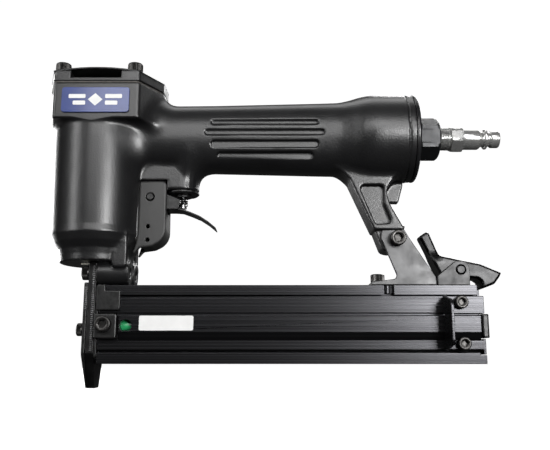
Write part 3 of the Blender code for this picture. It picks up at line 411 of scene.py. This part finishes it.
def bar_x(centre, radius, start, end):
    return lambda x, y, z: slab(np.sqrt((y - centre[0]) ** 2 + (z - centre[1]) ** 2) - radius, x, start, end)


def bar_y(centre, radius, start, end):
    return lambda x, y, z: slab(np.sqrt((x - centre[0]) ** 2 + (z - centre[1]) ** 2) - radius, y, start, end)


def bar_z(centre, radius, start, end):
    return lambda x, y, z: slab(np.sqrt((x - centre[0]) ** 2 + (y - centre[1]) ** 2) - radius, z, start, end)


def handle_shape(x, y, z):
    """The grip and the bell: rounded sections that change smoothly along X."""
    stations = np.array(HANDLE, np.float32)
    fine = np.interp(x.ravel(), stations[:, 0], np.arange(len(stations)))
    values = []
    for column in range(1, 5):
        line = np.interp(fine, np.arange(len(stations)), stations[:, column])
        kernel = np.hanning(2 * int(SMOOTHING / STEP) + 1)
        padded = np.pad(line, len(kernel) // 2, mode="edge")
        smooth = np.convolve(padded, kernel / kernel.sum(), mode="valid").astype(np.float32)
        values.append(smooth[:, None, None])
    middle, height, width, power = values
    across = np.abs(y) / width
    up = np.abs(z - middle) / height
    reach = (across ** power + up ** power) ** (1.0 / power)
    radial = (reach - 1.0) * np.sqrt(y * y + (z - middle) ** 2) / np.maximum(reach, 0.05)
    return np.maximum(radial, np.maximum(GRIP_START - x, x - BELL_END))


# Grooves along the handle: (height, half width, start, end)
FLUTES = [
    (145.8, 1.3, 63.5, 123.5), (139.8, 1.6, 60.0, 127.0),
    (133.1, 2.1, 63.5, 123.8), (127.1, 1.9, 67.0, 120.5),
]
FLUTE_DEPTH = 1.1
ARM_HALF_WIDTH = 9.8
ARM = [
    (134.0, 122.0, 0), (141.2, 115.3, 8), (154.3, 85.8, 0.5), (171.4, 85.8, 0.5), (163.9, 99.9, 9),
    (161.4, 108.4, 6), (170.0, 121.0, 0), (160.0, 126.0, 0),
]
POCKET = [(146.2, 111.6, 2.5), (160.6, 111.6, 2.5), (160.2, 101.0, 4), (164.6, 89.6, 2.0), (155.2, 89.0, 2.0)]
TONGUE = [(153.8, 88.5, 0), (158.9, 74.6, 3), (166.5, 72.6, 5), (172.0, 88.5, 0)]


def casting():
    solid = Casting((-34, -29.5, 53), (180, 29.5, 168), STEP)
    plan = head_plan()
    solid.add(turned_about_z(BARREL), ((-34, 32), (-30, 30), (60, 152)))
    solid.add(lambda x, y, z: slab(outline_distance(plan, x, y), z, 144.7, 165.3, 0.8),
              ((-34, 45), (-30, 30), (134, 168)), 3.0)
    solid.add(handle_shape, ((11.9, 180), (-30, 30), (110, 168)), 9.0)
    arm = rounded(ARM)
    solid.add(lambda x, y, z: slab(outline_distance(arm, x, z), y, -ARM_HALF_WIDTH, ARM_HALF_WIDTH, 0.9),
              ((125, 180), (-30, 30), (70, 130)), 3.0)
    pocket = rounded(POCKET)
    for side in (-1, 1):
        low, high = sorted((side * (ARM_HALF_WIDTH - 3.5), side * 14.0))
        solid.cut(lambda x, y, z: slab(outline_distance(pocket, x, z), y, low, high, 0.6),
                  ((140, 170), (-30, 30), (80, 116)), 1.0)
    tongue = rounded(TONGUE)
    solid.add(lambda x, y, z: slab(outline_distance(tongue, x, z), y, -7.6, 7.6, 0.6),
              ((148, 176), (-30, 30), (68, 90)), 0.6)
    gusset = [(160.0, 121.0), (160.0, 104.0), (170.3, 103.8), (175.2, 121.0)]
    solid.add(lambda x, y, z: slab(outline_distance(gusset, x, z), y, 2.1, 7.9, 0.5),
              ((155, 178), (-30, 30), (98, 126)), 2.0)
    boss = rounded([(14.0, -9.8, 0), (55.8, -9.8, 9.6), (55.8, 9.8, 9.6), (14.0, 9.8, 0)])
    solid.add(lambda x, y, z: np.maximum(slab(outline_distance(boss, x, y), z, 108.9, 130.0, 1.2),
                                         -slab(np.abs(x - 20.0) - 18.8, z, 90.0, 114.2)),
              ((12, 70), (-30, 30), (104, 140)), lambda x, y, z: 1.6 + 8.4 * smooth_step((x - 42.0) / 9.0))
    solid.add(lambda x, y, z: slab(slab(np.abs(x - 28.3) - 8.3, y, -7.2, 7.2), z, 109.8, 118.0),
              ((16, 40), (-12, 12), (106, 120)), 0.8)
    for side in (-1, 1):
        solid.add(bar_x((side * NOSE_SCREW[0], NOSE_SCREW[1]), 6.7, 2.6, 19.85),
                  ((0, 26), (-18, 18), (53, 74)), 1.2)
    solid.add(lambda x, y, z: slab(slab(np.abs(x - 10.3) - 7.7, y, -8.0, 8.0), z, 55.1, 70.0),
              ((0, 26), (-18, 18), (53, 74)), 1.0)
    web = rounded([(11.4, 64.0, 2), (19.2, 64.0, 2), (19.2, 84.0, 0), (9.0, 84.0, 0), (11.4, 77.0, 3)])
    for side in (-1, 1):
        low, high = sorted((side * 9.0, side * 16.6))
        solid.add(lambda x, y, z: slab(outline_distance(web, x, z), y, low, high, 1.0),
                  ((2, 28), (-24, 24), (53, 90)), 2.0)
    for side in (-1, 1):
        low, high = sorted((side * 7.2, side * 9.4))
        solid.cut(lambda x, y, z: slab(slab(np.abs(x - 30.95) - 9.05, y, low, high), z, 66.0, 114.2),
                  ((18, 44), (-12, 12), (62, 118)))
    solid.cut(bar_z((DRIVE_X, 0), 21.0, 78.0, 175.0), ((-26, 24), (-24, 24), (70, 170)))
    solid.cut(bar_x((0, GRIP_Z), 13.0, 17.0, 183.0), ((12, 180), (-18, 18), (120, 160)))
    solid.cut(bar_x((0, AIR_Z), 21.0, 160.0, 183.0), ((155, 180), (-25, 25), (115, 168)))
    solid.cut(bar_z((DRIVE_X, 0), 3.0, 60.0, 80.0), ((-6, 4), (-5, 5), (62, 80)))
    solid.cut(bar_z((VALVE_X, 0), 7.0, 100.0, 126.0), ((36, 58), (-10, 10), (104, 130)))
    solid.cut(bar_z((VALVE_X, 0), 3.0, 120.0, 133.0), ((40, 54), (-6, 6), (120, 136)))
    for side in (-1, 1):
        solid.cut(bar_x((side * NOSE_SCREW[0], NOSE_SCREW[1]), 2.8, -5.0, 25.0),
                  ((-4, 28), (-14, 14), (56, 68)), 0.5)
        for x in CAP_SCREW_X:
            solid.cut(bar_z((x, side * CAP_SCREW_Y), 2.8, 153.0, 170.0), ((-26, 26), (-24, 24), (150, 170)))
    solid.cut(lambda x, y, z: slab(BELL_RADIUS - 0.6 - np.sqrt(y * y + (z - AIR_Z) ** 2), x, 173.1, 174.0),
              ((171, 177), (-29, 29), (113, 168)), 0.3)
    solid.cut(bar_y(ARM_SCREW, 2.8, -20.0, 20.0), ((160, 172), (-14, 14), (75, 86)))
    for height, half, start, end in FLUTES:
        rise = abs(height - GRIP_Z) / GRIP_HALF_HEIGHT
        surface = GRIP_HALF_WIDTH * (1 - rise ** GRIP_POWER) ** (1 / GRIP_POWER)
        for side in (-1, 1):
            floor, wall = side * (surface - FLUTE_DEPTH), side * 25.0
            low, high = min(floor, wall), max(floor, wall)
            solid.cut(lambda x, y, z: slab(capsule(x, z, (start + half, height), (end - half, height), half),
                                           y, low, high, 0.7),
                      ((55, 132), (-22, 22), (height - 6, height + 6)), 0.7)
    mesh = solid.mesh("casting")
    for vertex in mesh.vertices:
        vertex.co.y = min(max(vertex.co.y, -HEAD_HALF_DEPTH * MM), HEAD_HALF_DEPTH * MM)
    show("casting", mesh, "black_paint", BODY["housing"], stands_for=["housing"], sharp=40.0)


OWN_LOOK = {
    "rear_bracket": "bracket_steel", "latch_bracket": "latch_steel", "latch_pin": "lever_steel",
    "latch_lever": "lever_steel", "driver_guide": "guide_steel", "valve_spring": "lever_steel",
}


def look_for(name):
    """The look of a CAD node: its own where it has one, or its record slot's."""
    if "screw" in name and name != "screw_block":
        return "screw_oxide"
    return OWN_LOOK.get(name, SLOT[name])


def paint_cad():
    for name, thing in NODES.items():
        paint(thing, look_for(name))
        thing.data.shade_smooth()
        thing.data.set_sharp_from_angle(angle=math.radians(32))


# ---------------------------------------------------------------- sheet metal and plates

MERGE = 0.000004
FLAT = math.radians(0.8)
EDGE_ANGLE = math.radians(28.0)
BEVEL_STEPS = 3

# Grooves cut along the magazine's near side: (y from, y to, z from, z to)
GROOVES = {
    "magazine_slide": [
        (-13.5, -9.4, 47.9, 50.0), (-12.6, -11.0, 38.4, 39.7), (-13.0, -10.0, 19.0, 20.2),
    ],
    "magazine_fixed": [(-13.0, -9.4, 18.7, 19.6)],
}
# Edges moved to draw the grooves' lips: (y, z, new z)
LIPS = {"magazine_slide": [(-12.0, 26.4, 25.0)], "magazine_fixed": [(-12.0, 50.4, 49.3)]}


def grooved(name):
    """A CAD node's mesh with its grooves cut and its lips moved."""
    mesh = NODES[name].data.copy()
    for y, z, height in LIPS[name]:
        for vertex in mesh.vertices:
            if abs(vertex.co.y / MM - y) < 0.02 and abs(vertex.co.z / MM - z) < 0.02:
                vertex.co.z = height * MM
    blank = bpy.data.objects.new("blank", mesh)
    bpy.context.scene.collection.objects.link(blank)
    cutters = []
    for number, (y0, y1, z0, z1) in enumerate(GROOVES[name]):
        points = [(x, y, z) for x in (-10.0, 240.0) for y in (y0, y1) for z in (z0, z1)]
        faces = [(0, 1, 3, 2), (4, 6, 7, 5), (0, 4, 5, 1), (2, 3, 7, 6), (0, 2, 6, 4), (1, 5, 7, 3)]
        cutter = bpy.data.objects.new("groove", to_mesh("groove", points, faces))
        bpy.context.scene.collection.objects.link(cutter)
        cutters.append(cutter)
        cut = blank.modifiers.new("Groove", "BOOLEAN")
        cut.operation = "DIFFERENCE"
        cut.solver = "EXACT"
        cut.object = cutter
    result = bpy.data.meshes.new_from_object(blank.evaluated_get(bpy.context.evaluated_depsgraph_get()))
    for thing in (blank, *cutters):
        bpy.data.objects.remove(thing)
    return result


def refined(name, width):
    """Stands for a CAD node: the same solid with its flat faces merged and its edges rounded."""
    shape = bmesh.new()
    shape.from_mesh(grooved(name) if name in GROOVES else NODES[name].data)
    bmesh.ops.remove_doubles(shape, verts=shape.verts, dist=MERGE)
    bmesh.ops.dissolve_limit(shape, angle_limit=FLAT, verts=shape.verts, edges=shape.edges)
    edges = [edge for edge in shape.edges if edge.calc_face_angle(0.0) > EDGE_ANGLE]
    bmesh.ops.bevel(
        shape, geom=edges, offset=width * MM, offset_type="OFFSET", segments=BEVEL_STEPS,
        profile=0.5, affect="EDGES", clamp_overlap=False,
    )
    for axis in range(3):
        low = min(vertex.co[axis] for vertex in NODES[name].data.vertices)
        high = max(vertex.co[axis] for vertex in NODES[name].data.vertices)
        for vertex in shape.verts:
            vertex.co[axis] = min(max(vertex.co[axis], low), high)
    mesh = bpy.data.meshes.new(name + "_fine")
    shape.to_mesh(mesh)
    shape.free()
    thing = show(name + "_fine", mesh, look_for(name), BODY[name], [name])
    normals = thing.modifiers.new("Normals", "WEIGHTED_NORMAL")
    normals.keep_sharp = True


EDGES = {
    "cylinder_cap": 0.6, "exhaust_plate": 0.2, "badge_plate": 0.2, "trigger": 0.25,
    "nose_front_plate": 0.35, "driver_guide": 0.3, "nose_rear_plate": 0.3, "nose_bracket": 0.35,
    "screw_block": 0.5, "nose_seal": 0.5, "magazine_fixed": 0.3, "magazine_slide": 0.3,
    "pull_bracket": 0.35, "slide_end_cap": 0.6, "rear_bracket": 0.4, "latch_bracket": 0.35,
    "arm_nut": 0.3, "reload_label": 0.08, "trigger_pin": 0.15, "latch_pin": 0.2,
}


def plates():
    for name, width in EDGES.items():
        refined(name, width)


FINE_STEP = 0.25
GUARD_OUTER = 9.0
GUARD_INNER = 7.6
GUARD_PIN = (29.4, 104.6)
GUARD = [
    (23.1, 113.6, 1.5), (38.4, 113.6, 2.5), (38.7, 80.6, 9.5), (30.8, 76.6, 3), (24.0, 75.6, 2),
    (20.0, 70.7, 0.6), (22.2, 78.6, 3), (23.1, 85.0, 3),
]
GUARD_INSIDE = [
    (10.0, 120.0, 0), (37.0, 120.0, 0), (37.3, 81.4, 8.2), (30.2, 78.0, 3), (10.0, 74.0, 0),
]


def guard():
    """The trigger guard: a folded sheet with rounded folds."""
    solid = Casting((17.5, -10.0, 68.5), (41.0, 10.0, 116.0), FINE_STEP)
    whole = ((0, 300), (-20, 20), (0, 200))
    outside, inside = rounded(GUARD, 10), rounded(GUARD_INSIDE, 10)
    solid.add(lambda x, y, z: slab(outline_distance(outside, x, z), y, -GUARD_OUTER, GUARD_OUTER, 1.1), whole)
    solid.cut(lambda x, y, z: slab(outline_distance(inside, x, z), y, -GUARD_INNER, GUARD_INNER, 0.4), whole)
    for middle, half, low, high in ((38.0, 4.0, 96.5, 120.0), (20.25, 5.25, 60.0, 90.0)):
        solid.cut(lambda x, y, z: slab(slab(np.abs(x - middle) - half, y, -GUARD_INNER, GUARD_INNER),
                                       z, low, high), whole)
    solid.cut(bar_y(GUARD_PIN, 2.4, -20.0, 20.0), whole)
    for height in (87.8, 80.2):
        solid.cut(bar_y((28.7, height), 1.1, -20.0, 20.0), whole)
    mesh = solid.mesh("trigger_guard_fine")
    show("trigger_guard_fine", mesh, "guard_paint", BODY["trigger_guard"],
         ["trigger_guard"], 45.0)


LEVER = [
    (180.0, 82.8, 1.2), (185.2, 86.2, 1.6), (190.8, 71.8, 2.5), (203.6, 69.0, 2), (212.6, 67.2, 2),
    (224.4, 62.2, 0.6), (223.0, 59.6, 1), (220.2, 56.0, 2), (213.6, 53.4, 0.8), (212.8, 57.4, 1),
    (210.8, 58.9, 1), (203.0, 59.4, 1), (190.6, 60.4, 1),
]
LEVER_HALF_WIDTH = 6.9
LEVER_NARROWING = 2.1
LEVER_EDGE = 1.5
LEVER_SLOT = 3.0
LATCH_PIN = (201.3, 63.6)

def lever():
    """The latch lever: a rounded channel that narrows into its upright handle."""
    solid = Casting((177.0, -8.0, 51.0), (226.5, 8.0, 88.5), FINE_STEP)
    whole = ((0, 300), (-20, 20), (0, 100))
    outline = rounded(LEVER)

    def body(x, y, z):
        flat = outline_distance(outline, x, z)
        narrow = smooth_step((z - 68.0) / 7.0) * smooth_step((193.0 - x) / 4.0)
        half = LEVER_HALF_WIDTH - LEVER_NARROWING * narrow
        a, b = flat + LEVER_EDGE, np.abs(y) - half + LEVER_EDGE
        outside = np.sqrt(np.maximum(a, 0.0) ** 2 + np.maximum(b, 0.0) ** 2)
        return np.minimum(np.maximum(a, b), 0.0) + outside - LEVER_EDGE

    solid.add(body, whole)
    solid.cut(lambda x, y, z: slab(slab(np.abs(x - LATCH_PIN[0]) - 5.7, y, -LEVER_SLOT, LEVER_SLOT),
                                   z, 50.0, 66.9), whole, 0.4)
    solid.cut(bar_y(LATCH_PIN, 2.7, -20.0, 20.0), whole)
    solid.cut(bar_y(LATCH_PIN, 4.6, -LEVER_SLOT, LEVER_SLOT), whole)
    mesh = solid.mesh("latch_lever_fine")
    show("latch_lever_fine", mesh, "lever_steel", BODY["latch_lever"],
         ["latch_lever"], 45.0)


# ---------------------------------------------------------------- turned pieces

UP = Matrix.Identity(4)
BACK = Matrix.Rotation(math.pi / 2, 4, "Y")
FRONT = Matrix.Rotation(-math.pi / 2, 4, "Y")
NEAR = Matrix.Rotation(math.pi / 2, 4, "X")


def lathe(name, rings, place, sides, turn=0.0, closed=False):
    """A turned mesh from rings (radius, height, hexagon corner, knurl depth) along its own Z.

    A ring with a hexagon's corner radius follows the hexagon, trimmed to the radius.
    """
    shape = bmesh.new()
    made = []
    for radius, height, *more in rings:
        corner, knurl = (*more, 0.0, 0.0)[:2]
        ring = []
        for side in range(sides):
            angle = 2 * math.pi * side / sides
            reach = radius - knurl * (0.5 - 0.5 * math.cos(math.pi * side))
            if corner:
                off = math.remainder(angle - math.radians(30), math.radians(60))
                reach = min(radius, corner * math.cos(math.radians(30)) / math.cos(off))
            angle += math.radians(turn)
            point = place @ Vector((reach * math.cos(angle), reach * math.sin(angle), height))
            ring.append(shape.verts.new(((point.x + SHIFT) * MM, point.y * MM, point.z * MM)))
        made.append(ring)
    for ring, following in zip(made, made[1:] + made[:1]):
        if ring is made[-1] and not closed:
            break
        for side in range(sides):
            after = (side + 1) % sides
            shape.faces.new((ring[side], ring[after], following[after], following[side]))
    if not closed:
        shape.faces.new(made[0])
        shape.faces.new(made[-1])
    bmesh.ops.recalc_face_normals(shape, faces=shape.faces)
    mesh = bpy.data.meshes.new(name)
    shape.to_mesh(mesh)
    shape.free()
    return mesh


M5 = (4.25, 5.0, 2.5, 2.4)
M4 = (3.5, 4.0, 2.0, 1.8)
CAP_SEAT = 174.495
# Screws: name, seat, way the head faces, size (head radius, height, shank radius, socket), length
SCREWS = [
    ("cap_screw_1", (CAP_SCREW_X[0], -CAP_SCREW_Y, CAP_SEAT), UP, M5, 20.0),
    ("cap_screw_2", (CAP_SCREW_X[1], -CAP_SCREW_Y, CAP_SEAT), UP, M5, 20.0),
    ("cap_screw_3", (CAP_SCREW_X[0], CAP_SCREW_Y, CAP_SEAT), UP, M5, 20.0),
    ("cap_screw_4", (CAP_SCREW_X[1], CAP_SCREW_Y, CAP_SEAT), UP, M5, 20.0),
    ("nose_screw_1", (-2.2, -8.0, 61.8), FRONT, (4.0, 4.0, 2.5, 2.2), 14.0),
    ("nose_screw_2", (-2.2, 8.0, 61.8), FRONT, (4.0, 4.0, 2.5, 2.2), 14.0),
    ("front_screw_1", (-4.4, -8.0, 31.0), FRONT, (3.5, 3.3, 2.0, 1.8), 5.8),
    ("front_screw_2", (-4.4, 8.0, 31.0), FRONT, (3.5, 3.3, 2.0, 1.8), 5.8),
    ("side_screw", (8.5, -16.7, 33.5), NEAR, (4.25, 3.6, 2.5, 2.3), 3.6),
    ("tab_screw_1", (198.7, -14.1, 45.2), NEAR, M4, 4.4),
    ("tab_screw_2", (199.2, -14.1, 23.4), NEAR, M4, 4.4),
    ("arm_screw", (166.8, -10.3, 80.6), NEAR, M5, 22.4),
    ("magazine_screw", (156.7, 0.0, 57.1), UP, (3.9, 4.8, 2.5, 2.2), 6.6),
]


def screws():
    """Socket cap screws with knurled rims."""
    for name, seat, way, (head, height, shank, socket), length in SCREWS:
        mesh = lathe(name + "_fine", [
            (socket, 0.45 * height, socket), (socket, height - 0.35, socket), (socket + 0.45, height - 0.02),
            (head - 0.75, height), (head - 0.4, height - 0.06), (head - 0.12, height - 0.28),
            (head - 0.04, height - 0.55, 0.0, 0.0), (head, height - 0.7, 0.0, 0.28), (head, 0.55, 0.0, 0.28),
            (head - 0.04, 0.45), (head - 0.2, 0.1), (head - 0.4, 0.0), (shank, 0.0),
            (shank, 0.6 - length), (shank - 0.5, -length),
        ], Matrix.Translation(seat) @ way, 72)
        show(name + "_fine", mesh, "screw_oxide", BODY[name], [name], 30.0)


def air_fittings():
    """End cap, adapter and quick-release plug on the air line."""
    line = Matrix.Translation((0.0, 0.0, AIR_Z)) @ BACK
    cap = [(8.0, 180.6), (20.6, 180.5), (22.4, 180.2)]
    for step in range(9):
        angle = math.pi / 2 * step / 8
        cap.append((24.0 + 1.3 * math.sin(angle), 178.6 + 1.3 * math.cos(angle)))
    cap += [
        (25.3, 178.3), (25.0, 178.1), (25.0, 177.9), (24.8, 177.65), (20.7, 177.6), (20.7, 170.0),
        (6.9, 170.0), (6.9, 178.5), (8.0, 179.6),
    ]
    mesh = lathe("end_cap_fine", cap, line, 120, closed=True)
    show("end_cap_fine", mesh, "cap_paint", BODY["end_cap"], ["end_cap"], 30.0)

    corner = 12.6
    rings = [
        (5.9, 193.6), (5.9, 182.0), (3.5, 182.0), (3.5, 171.0), (6.5, 171.0), (6.5, 181.0), (9.6, 181.0),
        (9.6, 182.6), (11.4, 182.6, corner), (corner, 183.1, corner), (corner, 191.7, corner),
        (12.3, 192.1, corner), (11.6, 193.0, corner), (10.7, 193.6, corner),
    ]
    mesh = lathe("inlet_adapter_fine", rings, line, 180, 156.5 + 90.0, True)
    show("inlet_adapter_fine", mesh, "adapter_oxide", BODY["inlet_adapter"],
         ["inlet_adapter"], 25.0)

    corner = 8.05
    rings = [
        (3.0, 229.3), (4.1, 229.3), (4.6, 229.15), (5.0, 228.7), (5.05, 228.2), (5.05, 224.9), (4.9, 224.4),
        (4.3, 223.8), (4.2, 223.4), (4.2, 222.9), (4.5, 222.4), (5.6, 221.95), (5.9, 221.6), (5.9, 221.0),
        (5.6, 220.6), (4.6, 220.2), (4.4, 219.9), (4.4, 219.1), (4.6, 218.5), (5.5, 217.6), (6.0, 216.9),
        (6.05, 216.3), (6.05, 208.3), (5.9, 207.6), (7.4, 207.6, corner), (corner, 206.9, corner),
        (corner, 201.7, corner), (7.4, 201.0, corner), (6.2, 200.8),
    ]
    for turn in range(7):
        start = 200.6 - 0.95 * turn
        rings += [(5.75, start), (6.5, start - 0.4), (6.5, start - 0.52)]
    rings += [(5.6, 193.6), (5.6, 184.4), (3.0, 184.4)]
    mesh = lathe("air_plug_fine", rings, line, 144, 202.0 + 90.0, True)
    show("air_plug_fine", mesh, "bright_chrome", BODY["air_plug"], ["air_plug"], 25.0)


def coil(name, base, radius, wire, length, turns, look):
    """A closed spring of round wire that climbs from its base."""
    shape = bmesh.new()
    around, per_turn = 12, 36
    rings = []
    for step in range(turns * per_turn + 1):
        angle = 2 * math.pi * step / per_turn
        out = Vector((math.cos(angle), math.sin(angle), 0.0))
        middle = Vector(base) + out * radius + Vector((SHIFT, 0.0, length * step / (turns * per_turn)))
        ring = []
        for side in range(around):
            turn = 2 * math.pi * side / around
            point = middle + out * wire * math.cos(turn) + Vector((0.0, 0.0, wire * math.sin(turn)))
            ring.append(shape.verts.new(point * MM))
        rings.append(ring)
    for ring, following in zip(rings, rings[1:]):
        for side in range(around):
            after = (side + 1) % around
            shape.faces.new((ring[side], ring[after], following[after], following[side]))
    shape.faces.new(rings[0])
    shape.faces.new(rings[-1])
    bmesh.ops.recalc_face_normals(shape, faces=shape.faces)
    mesh = bpy.data.meshes.new(name + "_fine")
    shape.to_mesh(mesh)
    shape.free()
    return show(name + "_fine", mesh, look, BODY[name], [name])


def springs():
    """Springs, each with a mesh of its own: a new coil for the valve spring and copies of the CAD meshes for
    the others.
    """
    foot = (VALVE_X, 0.0, 101.4)
    made = {"valve_spring": coil("valve_spring", foot, 2.5, 0.35, 3.6, 3, look_for("valve_spring"))}
    for name in ("head_valve_spring", "pusher_spring"):
        mesh = NODES[name].data.copy()
        made[name] = show(name + "_fine", mesh, look_for(name), BODY[name], [name])
    for joint in frame["record"]["behaviour"]["joints"]:
        for spring in joint.get("deforming_nodes", []):
            thing = made[spring["node"]]
            along = 0 if spring["mode"] == "scale_x" else 2
            fixed = spring["fixed_end_x_m" if along == 0 else "fixed_end_z_m"]
            axis, anchor = [0.0, 0.0, 0.0], [0.0, 0.0, 0.0]
            axis[along] = 1.0
            anchor[along] = fixed
            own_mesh(thing)


# ---------------------------------------------------------------- badge

def prism(name, outline, low, high, look, body):
    """A flat outline in (x, z) carried along Y between two limits."""
    shape = bmesh.new()
    rings = []
    for y in (low, high):
        rings.append([shape.verts.new(((x + SHIFT) * MM, y * MM, z * MM)) for x, z in outline])
    for ring, following in zip(rings, rings[1:]):
        for side in range(len(outline)):
            after = (side + 1) % len(outline)
            shape.faces.new((ring[side], ring[after], following[after], following[side]))
    shape.faces.new(rings[0])
    shape.faces.new(rings[-1])
    bmesh.ops.recalc_face_normals(shape, faces=shape.faces)
    mesh = bpy.data.meshes.new(name)
    shape.to_mesh(mesh)
    shape.free()
    return show(name, mesh, look, body)


def serration(name, x, start, end, look, node):
    """A row of fine flat-topped teeth along a plate's near edge, from one height to another."""
    shape = bmesh.new()
    pitch, across, tall, reach, face = 1.05, 0.7, 0.34, 0.14, -11.98
    count = int((end - start) / pitch)
    for number in range(count):
        z = start + pitch * (number + 0.5)
        rings = []
        for y, inset in ((face, 0.0), (face - reach, 0.12)):
            a, b = across - inset, tall - inset
            base = [(x - a, z - b), (x + a, z - b), (x + a, z + b), (x - a, z + b)]
            rings.append([shape.verts.new(((u + SHIFT) * MM, y * MM, v * MM)) for u, v in base])
        shape.faces.new(rings[0])
        shape.faces.new(rings[1])
        for side in range(4):
            after = (side + 1) % 4
            shape.faces.new((rings[0][side], rings[0][after], rings[1][after], rings[1][side]))
    bmesh.ops.recalc_face_normals(shape, faces=shape.faces)
    mesh = bpy.data.meshes.new(name)
    shape.to_mesh(mesh)
    shape.free()
    show(name, mesh, look, BODY[node], sharp=20.0)


def serrations():
    serration("guide_serration", 0.9, 19.5, 66.0, "zinc_plate", "driver_guide")
    serration("front_serration", -2.75, 41.5, 55.0, "satin_steel", "nose_front_plate")


BADGE_FACE = -27.9
MARK_HEIGHT = 0.12


def badge_mark():
    """A plain mark on the badge: a diamond between two pairs of bars."""
    body = BODY["badge_plate"]
    near, far = BADGE_FACE - MARK_HEIGHT, BADGE_FACE + 0.1
    x, z = 0.95, 154.8
    diamond = [(x - 4.0, z), (x, z - 3.6), (x + 4.0, z), (x, z + 3.6)]
    prism("badge_diamond", diamond, near, far, "label_white", body)
    for side in (-1, 1):
        for number, (rise, start, end) in enumerate(((1.9, 5.4, 14.6), (-1.9, 5.4, 12.2)), 1):
            a, b = sorted((x + side * start, x + side * end))
            bar = rounded([
                (a, z + rise - 1.15, 0.5), (b, z + rise - 1.15, 0.5),
                (b, z + rise + 1.15, 0.5), (a, z + rise + 1.15, 0.5),
            ], 4)
            name = f"badge_bar_{'left' if side < 0 else 'right'}_{number}"
            prism(name, bar, near, far, "label_white", body)


# ---------------------------------------------------------------- studio

LIGHT_TARGET = Vector((0.085, 0.0, 0.09))


def area_light(name, azimuth, elevation, distance, width, height, power):
    data = bpy.data.lights.new(name, "AREA")
    data.shape = "RECTANGLE"
    data.size = width
    data.size_y = height
    data.energy = power
    light = bpy.data.objects.new(name, data)
    across, up = math.radians(azimuth), math.radians(elevation)
    reach = Vector((math.sin(across) * math.cos(up), -math.cos(across) * math.cos(up), math.sin(up)))
    light.location = LIGHT_TARGET + reach * distance
    light.rotation_euler = reach.to_track_quat("Z", "Y").to_euler()
    light.visible_camera = False
    bpy.context.scene.collection.objects.link(light)


FLOOR = -0.0004
ROUND = 64
CENTRE_X = 0.085
FLAT_REACH = 1.6
CURVE = 0.6
CURVE_STEPS = 12
WALL_TOP = 3.2


def studio():
    """A round pale backdrop, soft lights and the camera."""
    line = [(0.6, 0.0), (FLAT_REACH, 0.0)]
    for step in range(1, CURVE_STEPS + 1):
        angle = math.pi / 2 * step / CURVE_STEPS
        line.append((FLAT_REACH + CURVE * math.sin(angle), CURVE - CURVE * math.cos(angle)))
    line.append((FLAT_REACH + CURVE, WALL_TOP))
    points = [(CENTRE_X, 0.0, FLOOR)]
    for reach, height in line:
        for side in range(ROUND):
            angle = 2 * math.pi * side / ROUND
            points.append((CENTRE_X + reach * math.cos(angle), reach * math.sin(angle), FLOOR + height))
    faces = [(0, 1 + side, 1 + (side + 1) % ROUND) for side in range(ROUND)]
    for ring in range(len(line) - 1):
        for side in range(ROUND):
            low, after = 1 + ring * ROUND, (side + 1) % ROUND
            faces.append((low + side, low + ROUND + side, low + ROUND + after, low + after))
    mesh = bpy.data.meshes.new("studio_sweep")
    mesh.from_pydata(points, [], faces)
    mesh.shade_smooth()
    floor = bpy.data.objects.new("studio_sweep", mesh)
    bpy.context.scene.collection.objects.link(floor)
    look = Look("studio_paper", (0.9, 0.9, 0.9), 0.9)
    look.tint(look.noise(3.0, 2.0), (0.9, 0.9, 0.9), (0.92, 0.92, 0.92))
    look.set("Emission Color", (1.0, 1.0, 1.0, 1.0))
    look.set("Emission Strength", 0.93)
    mesh.materials.append(look.made)
    floor.visible_glossy = False
    floor.visible_diffuse = False
    floor.visible_shadow = False

    area_light("key_softbox", 9, 26, 0.95, 0.40, 0.34, 2.6)
    area_light("fill_softbox", -15, 25, 0.90, 0.20, 0.34, 1.3)
    area_light("low_softbox", 26, 5, 0.80, 0.24, 0.20, 4.6)
    area_light("left_softbox", -54, 20, 0.90, 0.18, 0.80, 3.2)
    area_light("back_left_softbox", -138, 14, 0.95, 0.4, 0.7, 6.0)
    area_light("back_right_softbox", 150, 30, 0.95, 0.4, 0.5, 5.0)
    area_light("top_softbox", 180, 76, 0.80, 0.8, 0.30, 1.6)
    world = bpy.data.worlds.new("studio_air")
    world.use_nodes = True
    world.node_tree.nodes["Background"].inputs["Color"].default_value = (1.0, 1.0, 1.0, 1.0)
    world.node_tree.nodes["Background"].inputs["Strength"].default_value = 0.03
    bpy.context.scene.world = world
    bpy.context.scene.view_settings.view_transform = "Standard"

    data = bpy.data.cameras.new("camera")
    data.lens = 45.16
    data.sensor_width = 36.0
    data.dof.use_dof = False
    data.clip_start = 0.01
    camera = bpy.data.objects.new("camera", data)
    camera.location = (0.0982, -0.385, 0.0147)
    camera.rotation_euler = (math.radians(101.1), 0.0, 0.0)
    bpy.context.scene.collection.objects.link(camera)
    bpy.context.scene.camera = camera


paint_cad()
casting()
plates()
guard()
lever()
screws()
air_fittings()
springs()
serrations()
badge_mark()
studio()
